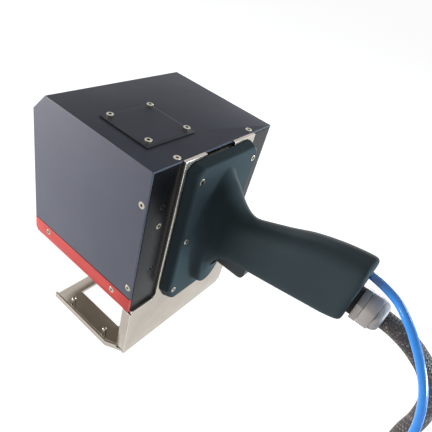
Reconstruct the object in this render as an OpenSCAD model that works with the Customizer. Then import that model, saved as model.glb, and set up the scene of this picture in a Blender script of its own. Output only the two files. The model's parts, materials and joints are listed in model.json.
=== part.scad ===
// Hand-held ink-jet date coder: a box housing over a nozzle base, a folded
// stainless guide bracket, a pistol grip with a trigger, and an umbilical
// that leaves the grip's free end through a cable gland. Millimetres.
// +X points to the grip's free end, +Z up. The guide plate lies on z = 0,
// y = 0 is the plane of symmetry, and the origin is under the middle.
// Most pieces are placed from the rear face of the housing, at the height of
// the housing's underside: there X is negative in the housing.

/* [Housing] */
// Length of the housing along X
housing_l = 130; // [122:1:160]
// Width of the housing along Y
housing_w = 144; // [140:1:170]
// Height of the housing, nozzle base included
housing_h = 143; // [140:1:165]
// Height of the nozzle base under the cover
base_h = 16; // [16:0.5:20]
// Sheet thickness of the cover and of the base's walls
wall = 2; // [1.5:0.25:2.5]
// Length of the chamfer on the cover's front top edge
chamfer_l = 15.5; // [8:0.5:22]
// Height of that chamfer
chamfer_h = 17; // [8:0.5:24]
// Height of the small chamfer under the base's front edge
base_chamfer = 3; // [1:0.5:4]
// Thickness of the base's floor
floor_t = 3; // [2:0.5:4]
// Height of the lip inside the base that locates the cover
lip_h = 6; // [4:0.5:10]
// Thickness of the rear panel
panel_t = 10; // [8:0.5:14]

/* [Access plate] */
// Side of the square access plate
access_s = 50; // [46:1:56]
// Thickness of the access plate
access_t = 1.5; // [1:0.25:3]
// Thickness of its gasket
gasket_t = 0.5; // [0.5:0.25:1.5]
// Pitch of its screws
access_pitch = 40; // [38:1:42]
// Side of the opening under it
access_hole = 30; // [20:1:32]
// Distance of the plate's middle from the rear face
access_x = 47; // [42:1:60]
// Distance of the plate's middle from the middle plane
access_y = 31; // [0:1:35]

/* [Guide bracket] */
// Thickness of the bracket's sheet
sheet_t = 3; // [2:0.5:4]
// Clear height between guide plate and housing
throw_gap = 59; // [50:1:75]
// Half width of the bracket's upper part
tab_y = 46; // [42:0.5:50]
// Width of the notch in its top edge
notch_w = 30; // [20:1:40]
// Depth of that notch
notch_d = 5; // [3:0.5:8]
// Half width of the bracket's lower part
skirt_y = 70; // [64:0.5:72]
// Length of the side returns
return_l = 9.7; // [6:0.1:14]
// Height of the side returns
return_h = 49; // [30:1:49]
// Length of the guide plate
plate_l = 95; // [92:1:110]
// Half width of the guide plate
plate_y = 77; // [76:0.5:84]
// Height of the lip along the plate's sides
plate_lip_h = 6; // [4.5:0.5:9]
// Thickness of that lip
plate_lip_t = 2.5; // [2:0.25:3]
// Length of the window in the guide plate
window_l = 56; // [40:1:60]
// Width of the window
window_w = 110; // [90:1:124]
// Distance of the window's rear edge from the housing's rear face
window_x = 23; // [18:1:26]
// Radius of the guide studs
stud_r = 2; // [1.5:0.25:2.5]
// Height of the studs over the plate
stud_h = 9.5; // [6:0.5:14]
// Pitch of the studs along X
stud_px = 46; // [40:1:50]
// Pitch of the studs along Y
stud_py = 142; // [132:1:142]
// Distance of the rear studs from the housing's rear face
stud_x = 25; // [22:1:30]
// Inside radius of the sheet's bends
bend_r = 1.5; // [1:0.5:3]

/* [Grip] */
// Length of the grip from the housing's rear face
grip_l = 138.5; // [132:0.5:160]
// Thickness of the grip's flange
flange_t = 9.8; // [8:0.2:12]
// Half width of the flange at its back
flange_y = 40.5; // [39:0.5:44]
// How far the flange reaches under the housing's underside
flange_drop = 2.85; // [1:0.05:3]
// How far the flange's top stays under the housing's top
flange_gap = 2.35; // [0:0.05:4]
// Inward lean of the flange's sides
flange_draft = 2.6; // [1:0.2:4]
// Width of the corner clip at the flange's bottom
clip_low_y = 7; // [5:0.5:8]
// Height of that clip
clip_low_z = 13; // [9:0.5:14]
// Corner clip at the flange's top
clip_top = 5.5; // [3:0.5:8]
// Half width of the handle
handle_y = 17.5; // [16:0.5:20]
// Pitch of the grip's screws along Y
grip_py = 65; // [62:1:67]
// Height of the grip's lowest screws
grip_screw_low = 12.4; // [11:0.2:16]
// Distance of the grip's highest screws from the housing's top
grip_screw_top = 14.6; // [14:0.2:20]
// Depth of the counterbores
grip_sink = 6; // [4:0.5:6.5]
// Height of the cable's way through panel and bracket
way_z = 82; // [80:0.5:84]
// Radius of the hole in panel and bracket
way_hole_r = 12; // [10:0.5:13]
// Radius of the channel in the grip
channel_r = 9; // [8.5:0.25:9.5]

/* [Trigger] */
// Distance of the trigger's pivot from the housing's rear face
pivot_x = 29.5; // [29:0.25:30]
// Height of the pivot
pivot_z = 58; // [57.5:0.25:58.5]
// Half width of the trigger
trigger_y = 7; // [5.5:0.25:7.5]
// Radius of the pivot pin
pin_r = 1.5; // [1:0.25:2]
// Half length of the pivot pin
pin_half = 12; // [10:0.5:12]
// Side clearance of the trigger
trigger_gap = 0.3; // [0.2:0.05:0.5]
// Distance of the spring from the rear face
spring_x = 52; // [50:0.5:53]
// Outer radius of the spring
spring_r = 3.5; // [3:0.1:3.7]
// Wire radius of the spring
wire_r = 0.4; // [0.3:0.05:0.5]
// Distance of the switch's plunger from the rear face
plunger_x = 37; // [35.5:0.25:38]
// Radius of the plunger
plunger_r = 1; // [0.8:0.1:1.2]

/* [Gland] */
// Distance of the gland's axis from the housing's underside
gland_z = 94.5; // [93:0.5:96]
// Hexagon of the gland across its flats
gland_af = 24; // [22:0.5:26]
// Radius of the gland's thread
gland_thread_r = 11; // [10:0.25:11.25]
// Thickness of the sealing ring
ring_t = 3; // [2:0.5:4]
// Length of the gland body's hexagon
gland_hex_l = 5; // [4:0.5:8]
// Length of the nut's hexagon
nut_hex_l = 8.3; // [7.5:0.1:11]
// Length of the nut's dome
dome_l = 6; // [6:0.5:9]
// Height of the ink tube's hole
tube_z = 119.3; // [118.5:0.1:119.5]

/* [Ink system] */
// Count of the nozzles
nozzle_n = 7; // [5:2:7]
// Pitch of the nozzles along X
nozzle_pitch = 8; // [8:0.25:8.5]
// Distance of the middle nozzle from the rear face
nozzle_x = 51.5; // [51:0.5:54]
// Lean of the two rows of valves
valve_lean = 20; // [19:0.5:23]
// Radius of a valve's coil
valve_r = 7; // [6:0.25:7]
// Length of a valve's coil
valve_l = 34; // [26:1:36]
// Height of the driver board over the housing's underside
board_z = 100; // [98:0.5:104]
// Side of the driver board
board_s = 96; // [88:1:98]

/* [Umbilical] */
// Outer diameter of the braided cable
cable_d = 13.8; // [12:0.2:14]
// Outer diameter of the ink tube
tube_d = 6; // [5:0.25:6]
// Diameter of the cable inside the grip
core_d = 7; // [5:0.5:7]
// Radius of the cable's coil at the middle of its turns
cable_coil_r = 76; // [70:1:84]
// Radius of the tube's coil at the middle of its turns
tube_coil_r = 33; // [30:1:36]
// Thickness of the ties under the coils
tie_t = 1.2; // [1:0.1:2]

/* [Hidden] */
$fn = 48;

// Clearances: a screw in its thread, a running pin, and a loose sheet
fit = 0.05;
slack = 0.2;
// Metric screws: radius of the shank, head radius and head height
m3 = [1.5, 2.75, 3];
m4 = [2, 3.5, 4];
m25 = [1.25, 2.2, 1.4];
m3_csk = [1.5, 3, 1.7];

// Where the rear face and the underside of the housing lie
reach = grip_l + ring_t + gland_hex_l + slack + nut_hex_l + dome_l;
rear_x = (housing_l - reach) / 2;
base_z = sheet_t + throw_gap;

// Screw rows that several pieces share, from the rear face
edge_x = panel_t / 2;
cover_y = 44;
cover_side_z = [27, housing_h - 30];
base_screw_x = [22.5, 111];
base_screw_z = 9;
panel_screw_y = 54.5;
bright_z = 88.4;
black_z = [42.4, 106.6];
board_post_y = board_s / 2 - 6;
board_x = 63;
grip_high_z = housing_h - grip_screw_top;
grip_screw_z = [grip_screw_low, (grip_screw_low + grip_high_z) / 2, grip_high_z];

// Heights inside the housing
chassis_t = 12;
chassis_z = floor_t + chassis_t;
upright_w = 12;

// Valve block: length and half width of its foot, then of its flange
block_l = 2 * (nozzle_x - panel_t - 2.5);
block_y = 20;
block_flange_l = block_l + 2;
block_flange_y = 30;
block_flange_t = 4;

// Places a piece from the rear face at the underside's height
module at_rear() {
    translate([rear_x, 0, base_z]) children();
}

// Extrudes a profile drawn in X and Z across Y, about the middle plane
module across(w) {
    rotate([90, 0, 0]) linear_extrude(w, center = true) children();
}

// Cylinders along +X and along +Y
module rod_x(r, l) {
    rotate([0, 90, 0]) cylinder(r = r, h = l);
}

module rod_y(r, l) {
    rotate([-90, 0, 0]) cylinder(r = r, h = l);
}

// Both mirror halves of what lies at +Y
module both_sides() {
    children();
    mirror([0, 1, 0]) children();
}

// Socket head screw with its head on z = 0 and its shank below
module cap_screw(m, l) {
    difference() {
        union() {
            cylinder(r = m[1], h = m[2]);
            translate([0, 0, -l]) cylinder(r = m[0], h = l + 0.1);
        }
        translate([0, 0, m[2] * 0.5])
            cylinder(r = m[0] * 0.95, h = m[2], $fn = 6);
    }
}

// Countersunk screw, flush with z = 0, its shank below
module flat_screw(m, l) {
    difference() {
        union() {
            translate([0, 0, -m[2]]) cylinder(r1 = m[0], r2 = m[1], h = m[2]);
            translate([0, 0, -l]) cylinder(r = m[0], h = l - m[2] + 0.01);
        }
        translate([0, 0, -m[2] * 0.6])
            cylinder(r = m[0] * 0.75, h = m[2], $fn = 6);
    }
}

// The seat that a countersunk screw leaves in a sheet
module flat_seat(m, depth) {
    translate([0, 0, -m[2] - fit])
        cylinder(r1 = m[0] + fit, r2 = m[1] + fit * 2, h = m[2] + fit);
    translate([0, 0, -depth]) cylinder(r = m[0] + fit, h = depth);
    cylinder(r = m[1] + fit * 2, h = 1);
}

// ---- Housing ----------------------------------------------------------

// Outline of the cover in X and Z, drawn in by t from the outer faces
module cover_outline(t) {
    slope = chamfer_h / chamfer_l;
    drop = t * sqrt(1 + slope * slope);
    polygon([
        [t - housing_l, base_h - (t > 0 ? 1 : 0)],
        [t > 0 ? 1 : 0, base_h - (t > 0 ? 1 : 0)],
        [t > 0 ? 1 : 0, housing_h - t],
        [(chamfer_h - t + drop) / slope - housing_l, housing_h - t],
        [t - housing_l, housing_h - chamfer_h + t * slope - drop]
    ]);
}

// Puts a screw or its seat at each place round the cover's rear edge
module cover_places() {
    both_sides() {
        translate([-edge_x, cover_y, housing_h]) children();
        for (z = cover_side_z)
            translate([-edge_x, housing_w / 2, z]) rotate([-90, 0, 0]) children();
    }
}

// Puts a screw or its seat at each place round the base
module base_places() {
    both_sides()
        for (x = base_screw_x)
            translate([-x, housing_w / 2, base_screw_z])
                rotate([-90, 0, 0]) children();
}

module access_places() {
    for (x = [-1, 1], y = [-1, 1])
        translate([x * access_pitch / 2, y * access_pitch / 2, 0]) children();
}

module housing_cover() {
    color("#4b4d59") at_rear() difference() {
        across(housing_w) cover_outline(0);
        across(housing_w - 2 * wall) cover_outline(wall);
        cover_places() flat_seat(m3_csk, wall + 1);
        translate([-access_x, -access_y, housing_h]) {
            translate([0, 0, -wall]) cube([access_hole, access_hole, 3 * wall], center = true);
            access_places() translate([0, 0, -3 * wall]) cylinder(r = m3[0] + fit, h = 6 * wall);
        }
    }
}

module rear_panel() {
    w = housing_w - 2 * wall - 2 * slack;
    color("#15161a") at_rear() difference() {
        translate([-panel_t, -w / 2, 0]) cube([panel_t, w, housing_h - wall - slack]);
        translate([-panel_t - 1, 0, way_z]) rod_x(way_hole_r, panel_t + 2);
        cover_places() translate([0, 0, -12]) cylinder(r = m3[0] + fit, h = 12);
        for (y = [-1, 1], z = grip_screw_z)
            translate([-8, y * grip_py / 2, z]) rod_x(m3[0] + fit, 9);
        both_sides() for (z = concat(black_z, bright_z)) {
            translate([-panel_t - 1, panel_screw_y, z]) rod_x(m3[0] + slack, panel_t + 2);
            translate([-m3[2] - slack, panel_screw_y, z]) rod_x(m3[1] + slack, m3[2] + 2);
        }
    }
}

// Half the base's inner width beside the chassis
base_in_y = housing_w / 2 - 2 * wall;
// Opening in the floor for the nozzle plate
nozzle_open = [block_l - 2, 30];

module nozzle_base() {
    color("#d8544f") at_rear() difference() {
        union() {
            across(housing_w) polygon([
                [-housing_l, base_chamfer], [base_chamfer - housing_l, 0],
                [0, 0], [0, base_h], [-housing_l, base_h]
            ]);
            translate([wall + fit - housing_l, wall + fit - housing_w / 2, base_h - 1])
                cube([housing_l - wall - panel_t, housing_w - 2 * (wall + fit), lip_h + 1]);
        }
        translate([2 * wall - housing_l, -base_in_y, floor_t])
            cube([housing_l, 2 * base_in_y, base_h + lip_h]);
        translate([-panel_t - 2, wall - housing_w / 2, floor_t])
            cube([panel_t + 3, housing_w - 2 * wall, base_h + lip_h]);
        translate([-panel_t, wall - housing_w / 2, -1])
            cube([panel_t + 1, housing_w - 2 * wall, base_h + lip_h]);
        translate([-nozzle_x, 0, 0]) cube([nozzle_open[0], nozzle_open[1], 3 * floor_t], center = true);
        base_places() flat_seat(m3_csk, 2 * wall + 1);
    }
}

module chassis() {
    x0 = 2 * wall + slack - housing_l;
    w = 2 * (base_in_y - slack);
    color("silver") at_rear() difference() {
        union() {
            translate([x0, -w / 2, floor_t]) cube([-panel_t - x0, w, chassis_t]);
            both_sides()
                translate([-panel_t - upright_w, panel_screw_y - 6.5, floor_t])
                    cube([upright_w, 13, black_z[1] + 6 - floor_t]);
        }
        translate([-nozzle_x, 0, floor_t])
            cube([block_l + 2 * slack, 2 * block_y + 2 * slack, 3 * chassis_t], center = true);
        block_screw_places() translate([0, 0, -9]) cylinder(r = m4[0] + fit, h = 12);
        base_places() translate([0, 0, -2 * wall - 10]) cylinder(r = m3[0] + fit, h = 12 + wall);
        both_sides() for (z = concat(black_z, bright_z))
            translate([-panel_t - 10, panel_screw_y, z]) rod_x(m3[0] + fit, 11);
        post_places() translate([0, 0, -6]) cylinder(r = m3[0] + fit, h = 8);
    }
}

module access_gasket() {
    color("#202022") at_rear() translate([-access_x, -access_y, housing_h]) difference() {
        translate([-access_s / 2, -access_s / 2, 0]) cube([access_s, access_s, gasket_t]);
        translate([-access_hole / 2, -access_hole / 2, -1])
            cube([access_hole, access_hole, gasket_t + 2]);
        access_places() translate([0, 0, -1]) cylinder(r = m3[0] + slack, h = gasket_t + 2);
    }
}

module access_plate() {
    color("#4b4d59") at_rear()
        translate([-access_x, -access_y, housing_h + gasket_t]) difference() {
            translate([-access_s / 2, -access_s / 2, 0]) cube([access_s, access_s, access_t]);
            access_places() translate([0, 0, -1]) cylinder(r = m3[0] + slack, h = access_t + 2);
        }
}

module access_screws() {
    color("#dadada") at_rear()
        translate([-access_x, -access_y, housing_h + gasket_t + access_t])
            access_places() cap_screw(m3, access_t + gasket_t + wall + 2);
}

module cover_screws() {
    color("#dadada") at_rear() cover_places() flat_screw(m3_csk, 10);
}

module base_screws() {
    color("#dadada") at_rear() base_places() flat_screw(m3_csk, 12);
}

// Screws that hold the rear panel to the chassis
module panel_screw_row(heights) {
    both_sides() for (z = heights)
        translate([-m3[2] - slack, panel_screw_y, z]) rotate([0, 90, 0]) cap_screw(m3, 15);
}

module panel_screws() {
    color("#dadada") at_rear() panel_screw_row([bright_z]);
}

module panel_black_screws() {
    color("#1c1c1e") at_rear() panel_screw_row(black_z);
}

// ---- Nozzles, valves and ink -------------------------------------------

// How far up its leaning axis a valve stands from the nozzle
valve_stand = 20;
nozzle_span = [for (i = [0:nozzle_n - 1]) (i - (nozzle_n - 1) / 2) * nozzle_pitch];

module block_screw_places() {
    for (x = [-1, 1], y = [-1, 1])
        translate([x * (block_flange_l / 2 - 4) - nozzle_x, y * (block_flange_y - 5), chassis_z])
            children();
}

// Turns a piece from the nozzle onto its valve's leaning axis
module valve_places() {
    for (i = [0:nozzle_n - 1])
        translate([nozzle_span[i] - nozzle_x, 0, floor_t])
            rotate([i % 2 == 0 ? valve_lean : -valve_lean, 0, 0]) children();
}

module valve_block() {
    top = chassis_z + block_flange_t;
    ridge = floor_t + valve_stand / cos(valve_lean);
    foot = (ridge - top) / tan(valve_lean);
    color("#b9bcc0") at_rear() difference() {
        translate([-nozzle_x, 0, 0]) union() {
            translate([-block_l / 2, -block_y, floor_t]) cube([block_l, 2 * block_y, chassis_t + 0.5]);
            translate([-block_flange_l / 2, -block_flange_y, chassis_z])
                cube([block_flange_l, 2 * block_flange_y, block_flange_t]);
            rotate([90, 0, 90]) linear_extrude((nozzle_n + 2) * nozzle_pitch, center = true)
                polygon([[-foot, top - 0.5], [-foot, top], [0, ridge], [foot, top], [foot, top - 0.5]]);
        }
        block_screw_places() translate([0, 0, -1]) cylinder(r = m4[0] + slack, h = block_flange_t + 2);
        valve_places() {
            translate([0, 0, valve_stand - 6]) cylinder(r = 4 + fit, h = 8);
            translate([0, 0, -2]) cylinder(r = 0.8, h = valve_stand);
        }
        nozzle_screw_places() translate([0, 0, floor_t - 1]) cylinder(r = m25[0] + fit, h = 8);
    }
}

module valve_block_screws() {
    color("#dadada") at_rear() block_screw_places()
        translate([0, 0, block_flange_t]) cap_screw(m4, block_flange_t + 2 * m4[2]);
}

module nozzle_screw_places() {
    for (x = [-1, 1], y = [-1, 1])
        translate([x * (nozzle_open[0] / 2 - 5) - nozzle_x, y * (nozzle_open[1] / 2 - 5), 0]) children();
}

module nozzle_plate() {
    l = nozzle_open[0] - 2 * slack;
    w = nozzle_open[1] - 2 * slack;
    color("#c9cacb") at_rear() difference() {
        translate([-nozzle_x - l / 2, -w / 2, 0]) cube([l, w, floor_t]);
        for (x = nozzle_span)
            translate([x - nozzle_x, 0, -1]) cylinder(r = 2 + fit, h = floor_t + 2);
        nozzle_screw_places() mirror([0, 0, 1]) flat_seat(m25, floor_t + 1);
    }
}

module nozzle_screws() {
    color("#dadada") at_rear() nozzle_screw_places() mirror([0, 0, 1]) flat_screw(m25, 8);
}

module nozzle_inserts() {
    color("#a4223c") at_rear()
        for (x = nozzle_span)
            translate([x - nozzle_x, 0, 0.5]) difference() {
                cylinder(r = 2, h = floor_t - 0.5);
                translate([0, 0, -1]) cylinder(r = 0.4, h = floor_t + 2);
            }
}

module solenoid_valves() {
    color("#2b2d30") at_rear() valve_places() translate([0, 0, valve_stand]) difference() {
        union() {
            translate([0, 0, -6 + fit]) cylinder(r = 4, h = 7);
            cylinder(r = valve_r, h = valve_l);
            translate([0, 0, valve_l - 1]) cylinder(r = 4, h = 4);
            translate([0, 0, valve_l]) cylinder(r = 2.5, h = 9);
        }
        translate([0, 0, -10]) cylinder(r = 0.8, h = valve_l + 30);
    }
}

// Rails over the valves' inlets, and the crossover at their front
rail_s = 10;
rail_z = valve_stand + valve_l + 3;
rail_l = (nozzle_n - 1) * nozzle_pitch + 18;
rail_end_x = -nozzle_x - rail_l / 2 + 5;
rail_y = (rail_z + rail_s / 2) * sin(valve_lean);
rail_mid_z = floor_t + (rail_z + rail_s / 2) * cos(valve_lean);

module ink_manifolds() {
    color("#d9d6c6") at_rear() difference() {
        union() {
            for (s = [-1, 1])
                translate([-nozzle_x - rail_l / 2, 0, floor_t]) rotate([s * valve_lean, 0, 0])
                    translate([0, -rail_s / 2, rail_z]) cube([rail_l, rail_s, rail_s]);
            translate([rail_end_x, -rail_y, rail_mid_z]) rod_y(3, 2 * rail_y);
            translate([rail_end_x, 0, rail_mid_z]) cylinder(r = 3, h = 8);
        }
        valve_places() translate([0, 0, rail_z - 1]) cylinder(r = 2.5 + fit, h = 8);
    }
}

module post_places() {
    for (x = [-1, 1], y = [-1, 1])
        translate([x * board_post_y - board_x, y * board_post_y, chassis_z]) children();
}

module board_posts() {
    color("#c8a24c") at_rear() post_places() difference() {
        union() {
            cylinder(r = 3, h = board_z - chassis_z, $fn = 6);
            translate([0, 0, -5]) cylinder(r = m3[0], h = 6);
        }
        translate([0, 0, board_z - chassis_z - 8]) cylinder(r = m3[0] + fit, h = 10);
    }
}

module driver_board() {
    color("#1f6b3a") at_rear() difference() {
        translate([-board_x - board_s / 2, -board_s / 2, board_z]) cube([board_s, board_s, 1.6]);
        post_places() translate([0, 0, board_z - chassis_z - 1]) cylinder(r = m3[0] + slack, h = 4);
    }
}

module board_screws() {
    color("#dadada") at_rear() post_places()
        translate([0, 0, board_z - chassis_z + 1.6]) cap_screw(m3, 7);
}

// Drivers in a row, a processor, capacitors and the cable's header
header_x = -38;
header_y = -8;
header_s = [16, 12, 7];
chip_s = [6, 7, 2.4];
capacitor_r = 5;
module board_components() {
    top = board_z + 1.6;
    row_y = board_s / 2 - 22.5;
    color("#26272b") at_rear() {
        for (x = nozzle_span) translate([x - board_x, row_y, top]) on_base(chip_s);
        translate([-board_x, 0, top]) on_base([18, 18, 1.8]);
        for (i = [-1:1])
            translate([3 * i * capacitor_r - board_x - capacitor_r, -row_y, top])
                cylinder(r = capacitor_r, h = 14);
        translate([header_x, header_y, board_z - header_s[2]]) on_base(header_s);
    }
}

// Box that stands centred on z = 0
module on_base(s) {
    translate([-s[0] / 2, -s[1] / 2, 0]) cube(s);
}

// ---- Swept hoses and cables --------------------------------------------

function unit(v) = v / norm(v);
function way(p, i) = unit(p[min(i + 1, len(p) - 1)] - p[max(i - 1, 0)]);

// Tube along a route: one ring a point, square to the way it runs
module tube(route, r, sides) {
    n = len(route);
    rings = [for (i = [0:n - 1])
        let (t = way(route, i), u = unit(cross(t, [0.02, 1, 0.01])), v = cross(u, t))
        for (k = [0:sides - 1])
            let (a = 360 * (k + 0.5) / sides)
            route[i] + r * (cos(a) * u + sin(a) * v)];
    polyhedron(
        points = rings,
        faces = concat(
            [[for (k = [0:sides - 1]) k]],
            [for (i = [0:n - 2], k = [0:sides - 1])
                let (a = i * sides + k, b = i * sides + (k + 1) % sides)
                [a, a + sides, b + sides, b]],
            [[for (k = [sides - 1:-1:0]) (n - 1) * sides + k]]
        ),
        convexity = 6
    );
}

// Routes inside, from the rear face at the underside's height
hose_route = [
    [138, 0, 119.3], [131, 0, 119.3], [127, 0, 118.4], [114, 0, 113.7],
    [98, 0, 107.9], [82, 0, 102.1], [66, 0.3, 96.3], [50, 3.2, 90.5], [34, 4.5, 86.5],
    [18, 4.5, 84.2], [3, 4.5, 82.4], [-12, 4.5, 82], [-28, 4.5, 82.5],
    [-44, 4, 83], [-58, 3, 82.8], [-68, 1.5, 81.2], [-76, 0.4, 77.6]
];
core_route = [
    [154, 0, 94.5], [140, 0, 94.5], [122, -1, 94.3], [104, -3.5, 94.2],
    [84, -4.2, 92.4], [64, -4.2, 90], [44, -4.2, 87.4], [24, -4.2, 84.8],
    [4, -4.2, 82.2], [-12, -4.2, 81.5], [-24, -5, 82], [-33, -6.8, 84.5]
];

module inner_ink_hose() {
    barb = [rail_end_x, 0, rail_mid_z + 8];
    color("#2a8ae8") at_rear()
        tube(concat(hose_route, [barb + [0, 0, 4], barb]), tube_d / 2, 8);
}

module inner_cable() {
    foot = [header_x, header_y, board_z - 7];
    color("#222326") at_rear()
        tube(concat(core_route, [foot - [0, 0, 4.5], foot]), core_d / 2, 8);
}

// ---- Guide bracket -------------------------------------------------------

// Outline of the upright sheet in Y and Z, from the housing's underside
module upright_outline() {
    low = -base_z + sheet_t + bend_r;
    difference() {
        polygon([
            [-skirt_y, low], [skirt_y - 4, low], [skirt_y, low + 4],
            [skirt_y, -3], [tab_y + 2, -3], [tab_y, -1], [tab_y, housing_h],
            [-tab_y, housing_h], [-tab_y, -1], [-tab_y - 2, -3], [-skirt_y, -3]
        ]);
        translate([-notch_w / 2, housing_h - notch_d]) square([notch_w, notch_d + 1]);
        translate([0, way_z]) circle(way_hole_r + 1);
        for (y = [-1, 1], z = grip_screw_z)
            translate([y * grip_py / 2, z]) circle(m3[0] + slack);
    }
}

// Plan of the guide plate's side edge at +Y, drawn in by t
function plate_edge(t) = [
    [sheet_t - plate_l, plate_y - t],
    [-return_l - 7 - t * 0.4, plate_y - t],
    [sheet_t - return_l, skirt_y + 2 - t]
];

module guide_bracket() {
    color("#a39a90") translate([rear_x, 0, 0]) difference() {
        union() {
            translate([0, 0, base_z]) rotate([90, 0, 90]) linear_extrude(sheet_t) upright_outline();
            // the bend between the upright sheet and the guide plate
            across(2 * skirt_y) translate([-bend_r, sheet_t + bend_r]) intersection() {
                difference() {
                    circle(bend_r + sheet_t);
                    circle(bend_r);
                }
                translate([0, -bend_r - sheet_t]) square(bend_r + sheet_t);
            }
            linear_extrude(sheet_t) polygon(concat(
                plate_edge(0), [[-bend_r, skirt_y], [-bend_r, -skirt_y]],
                [for (i = [2:-1:0]) [plate_edge(0)[i][0], -plate_edge(0)[i][1]]]
            ));
            both_sides() {
                linear_extrude(plate_lip_h) polygon(concat(
                    plate_edge(0), [for (i = [2:-1:0]) plate_edge(plate_lip_t)[i]]
                ));
                translate([sheet_t - return_l, skirt_y - 1, base_z - 5 - return_h])
                    cube([return_l, sheet_t, return_h]);
            }
        }
        translate([-window_x - window_l, -window_w / 2, -1]) cube([window_l, window_w, sheet_t + 2]);
        stud_places() translate([0, 0, -1]) cylinder(r = stud_r + stud_foot + fit, h = sheet_t + 2);
    }
}

module stud_places() {
    for (x = [0, 1], y = [-1, 1])
        translate([-stud_x - x * stud_px, y * stud_py / 2, 0]) children();
}

// Clinch studs: a wider foot flush in the sheet, then the thread
stud_foot = 0.5;
module guide_studs() {
    tip = 0.6;
    color("#dadada") translate([rear_x, 0, 0]) stud_places() {
        cylinder(r = stud_r + stud_foot, h = sheet_t);
        cylinder(r = stud_r, h = sheet_t + stud_h - tip);
        translate([0, 0, sheet_t + stud_h - tip]) cylinder(r1 = stud_r, r2 = stud_r - tip, h = tip);
    }
}

// ---- Grip -----------------------------------------------------------------

// Sections of the grip along X: distance from the housing's rear face, top,
// bottom and widest height, half width, and how square the section is
root_top = housing_h - 11;
grip_sections = [
    [sheet_t + 1, root_top, 3, 67, 26, 1.8],
    [sheet_t + flange_t, root_top - 2, 4.5, 67, 23.5, 1.85],
    [16, root_top - 5.5, 5, 68, 21, 1.95],
    [20, root_top - 10, 6.5, 70, 19, 2.1],
    [22.5, root_top - 12.4, 12, 72, 18, 2.2],
    [24.5, root_top - 14.5, 29, 73.5, handle_y, 2.2],
    [30, 110.5, 46, 77, handle_y - 1.5, 2.3],
    [38, 103.5, 53, 78, handle_y - 2.3, 2.4],
    [46, 101, 56.5, 78.5, handle_y - 2.5, 2.5],
    [58, 104, 58.5, 81.3, handle_y - 2.5, 2.6],
    [75, 108.6, 62.2, 85.4, handle_y - 1.5, 2.7],
    [89, 115.6, 65.3, 90.4, handle_y - 0.5, 2.8],
    [101, 120.4, 67.6, 94, handle_y, 2.8],
    [113, 124.7, 69.7, 97.2, handle_y, 2.8],
    [grip_l - 13.5, 125.6, 72.6, 99, handle_y, 3],
    [grip_l - 4, 125, 76, 100.5, handle_y - 0.5, 3],
    [grip_l, 121, 80, 100.5, handle_y - 4, 3]
];
ring_n = 40;
steps = 2;

// Smooth curve through the sections
function blend(a, b, c, d, t) =
    0.5 * (2 * b + (c - a) * t + (2 * a - 5 * b + 4 * c - d) * t * t
        + (3 * b - a - 3 * c + d) * t * t * t);
function section_at(i, t) =
    let (s = grip_sections, n = len(s) - 1)
    blend(s[max(i - 1, 0)], s[i], s[min(i + 1, n)], s[min(i + 2, n)], t);
function power(v, e) = sign(v) * pow(abs(v), e);
function section_ring(s) = [
    for (k = [0:ring_n - 1])
        let (a = 360 * k / ring_n, h = sin(a) > 0 ? s[1] - s[3] : s[3] - s[2])
        [s[0], s[4] * power(cos(a), 2 / s[5]), s[3] + h * power(sin(a), 2 / s[5])]
];

module grip_loft() {
    last = len(grip_sections) - 1;
    rows = concat(
        [for (i = [0:last - 1], j = [0:steps - 1]) section_at(i, j / steps)],
        [grip_sections[last]]
    );
    n = len(rows);
    polyhedron(
        points = [for (s = rows) each section_ring(s)],
        faces = concat(
            [[for (k = [0:ring_n - 1]) k]],
            [for (i = [0:n - 2], k = [0:ring_n - 1])
                let (a = i * ring_n + k, b = i * ring_n + (k + 1) % ring_n)
                each [[a, a + ring_n, b + ring_n], [a, b + ring_n, b]]],
            [[for (k = [ring_n - 1:-1:0]) (n - 1) * ring_n + k]]
        ),
        convexity = 6
    );
}

// Outline of the flange in Y and Z, drawn in by t
module flange_outline(t) {
    y = flange_y - t;
    low = t / 2 - flange_drop;
    top = housing_h - flange_gap - t / 2;
    polygon([
        [clip_low_y - y, low], [y - clip_low_y, low], [y, low + clip_low_z],
        [y, top - clip_top], [y - clip_top, top], [clip_top - y, top],
        [-y, top - clip_top], [-y, low + clip_low_z]
    ]);
}

module flange_body() {
    edge = 1.6;
    hull() {
        translate([sheet_t, 0, 0]) rotate([90, 0, 90]) linear_extrude(0.1) flange_outline(0);
        translate([sheet_t + flange_t - edge, 0, 0])
            rotate([90, 0, 90]) linear_extrude(0.1) flange_outline(flange_draft);
        translate([sheet_t + flange_t - 0.1, 0, 0])
            rotate([90, 0, 90]) linear_extrude(0.1) flange_outline(flange_draft + edge);
    }
}

// Trigger's pocket and what lies over it
pocket_x = [pivot_x - 5, 60.5];
roof_z = [67.3, 69.5];
roof_step_x = 43;
spring_top_z = 76;
spring_low_z = 62;
switch_l = 12.8;
switch_w = 5.8;
switch_z = [67.5, 74];
switch_x = plunger_x - 8.5;
way_end = [112, 96];

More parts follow.
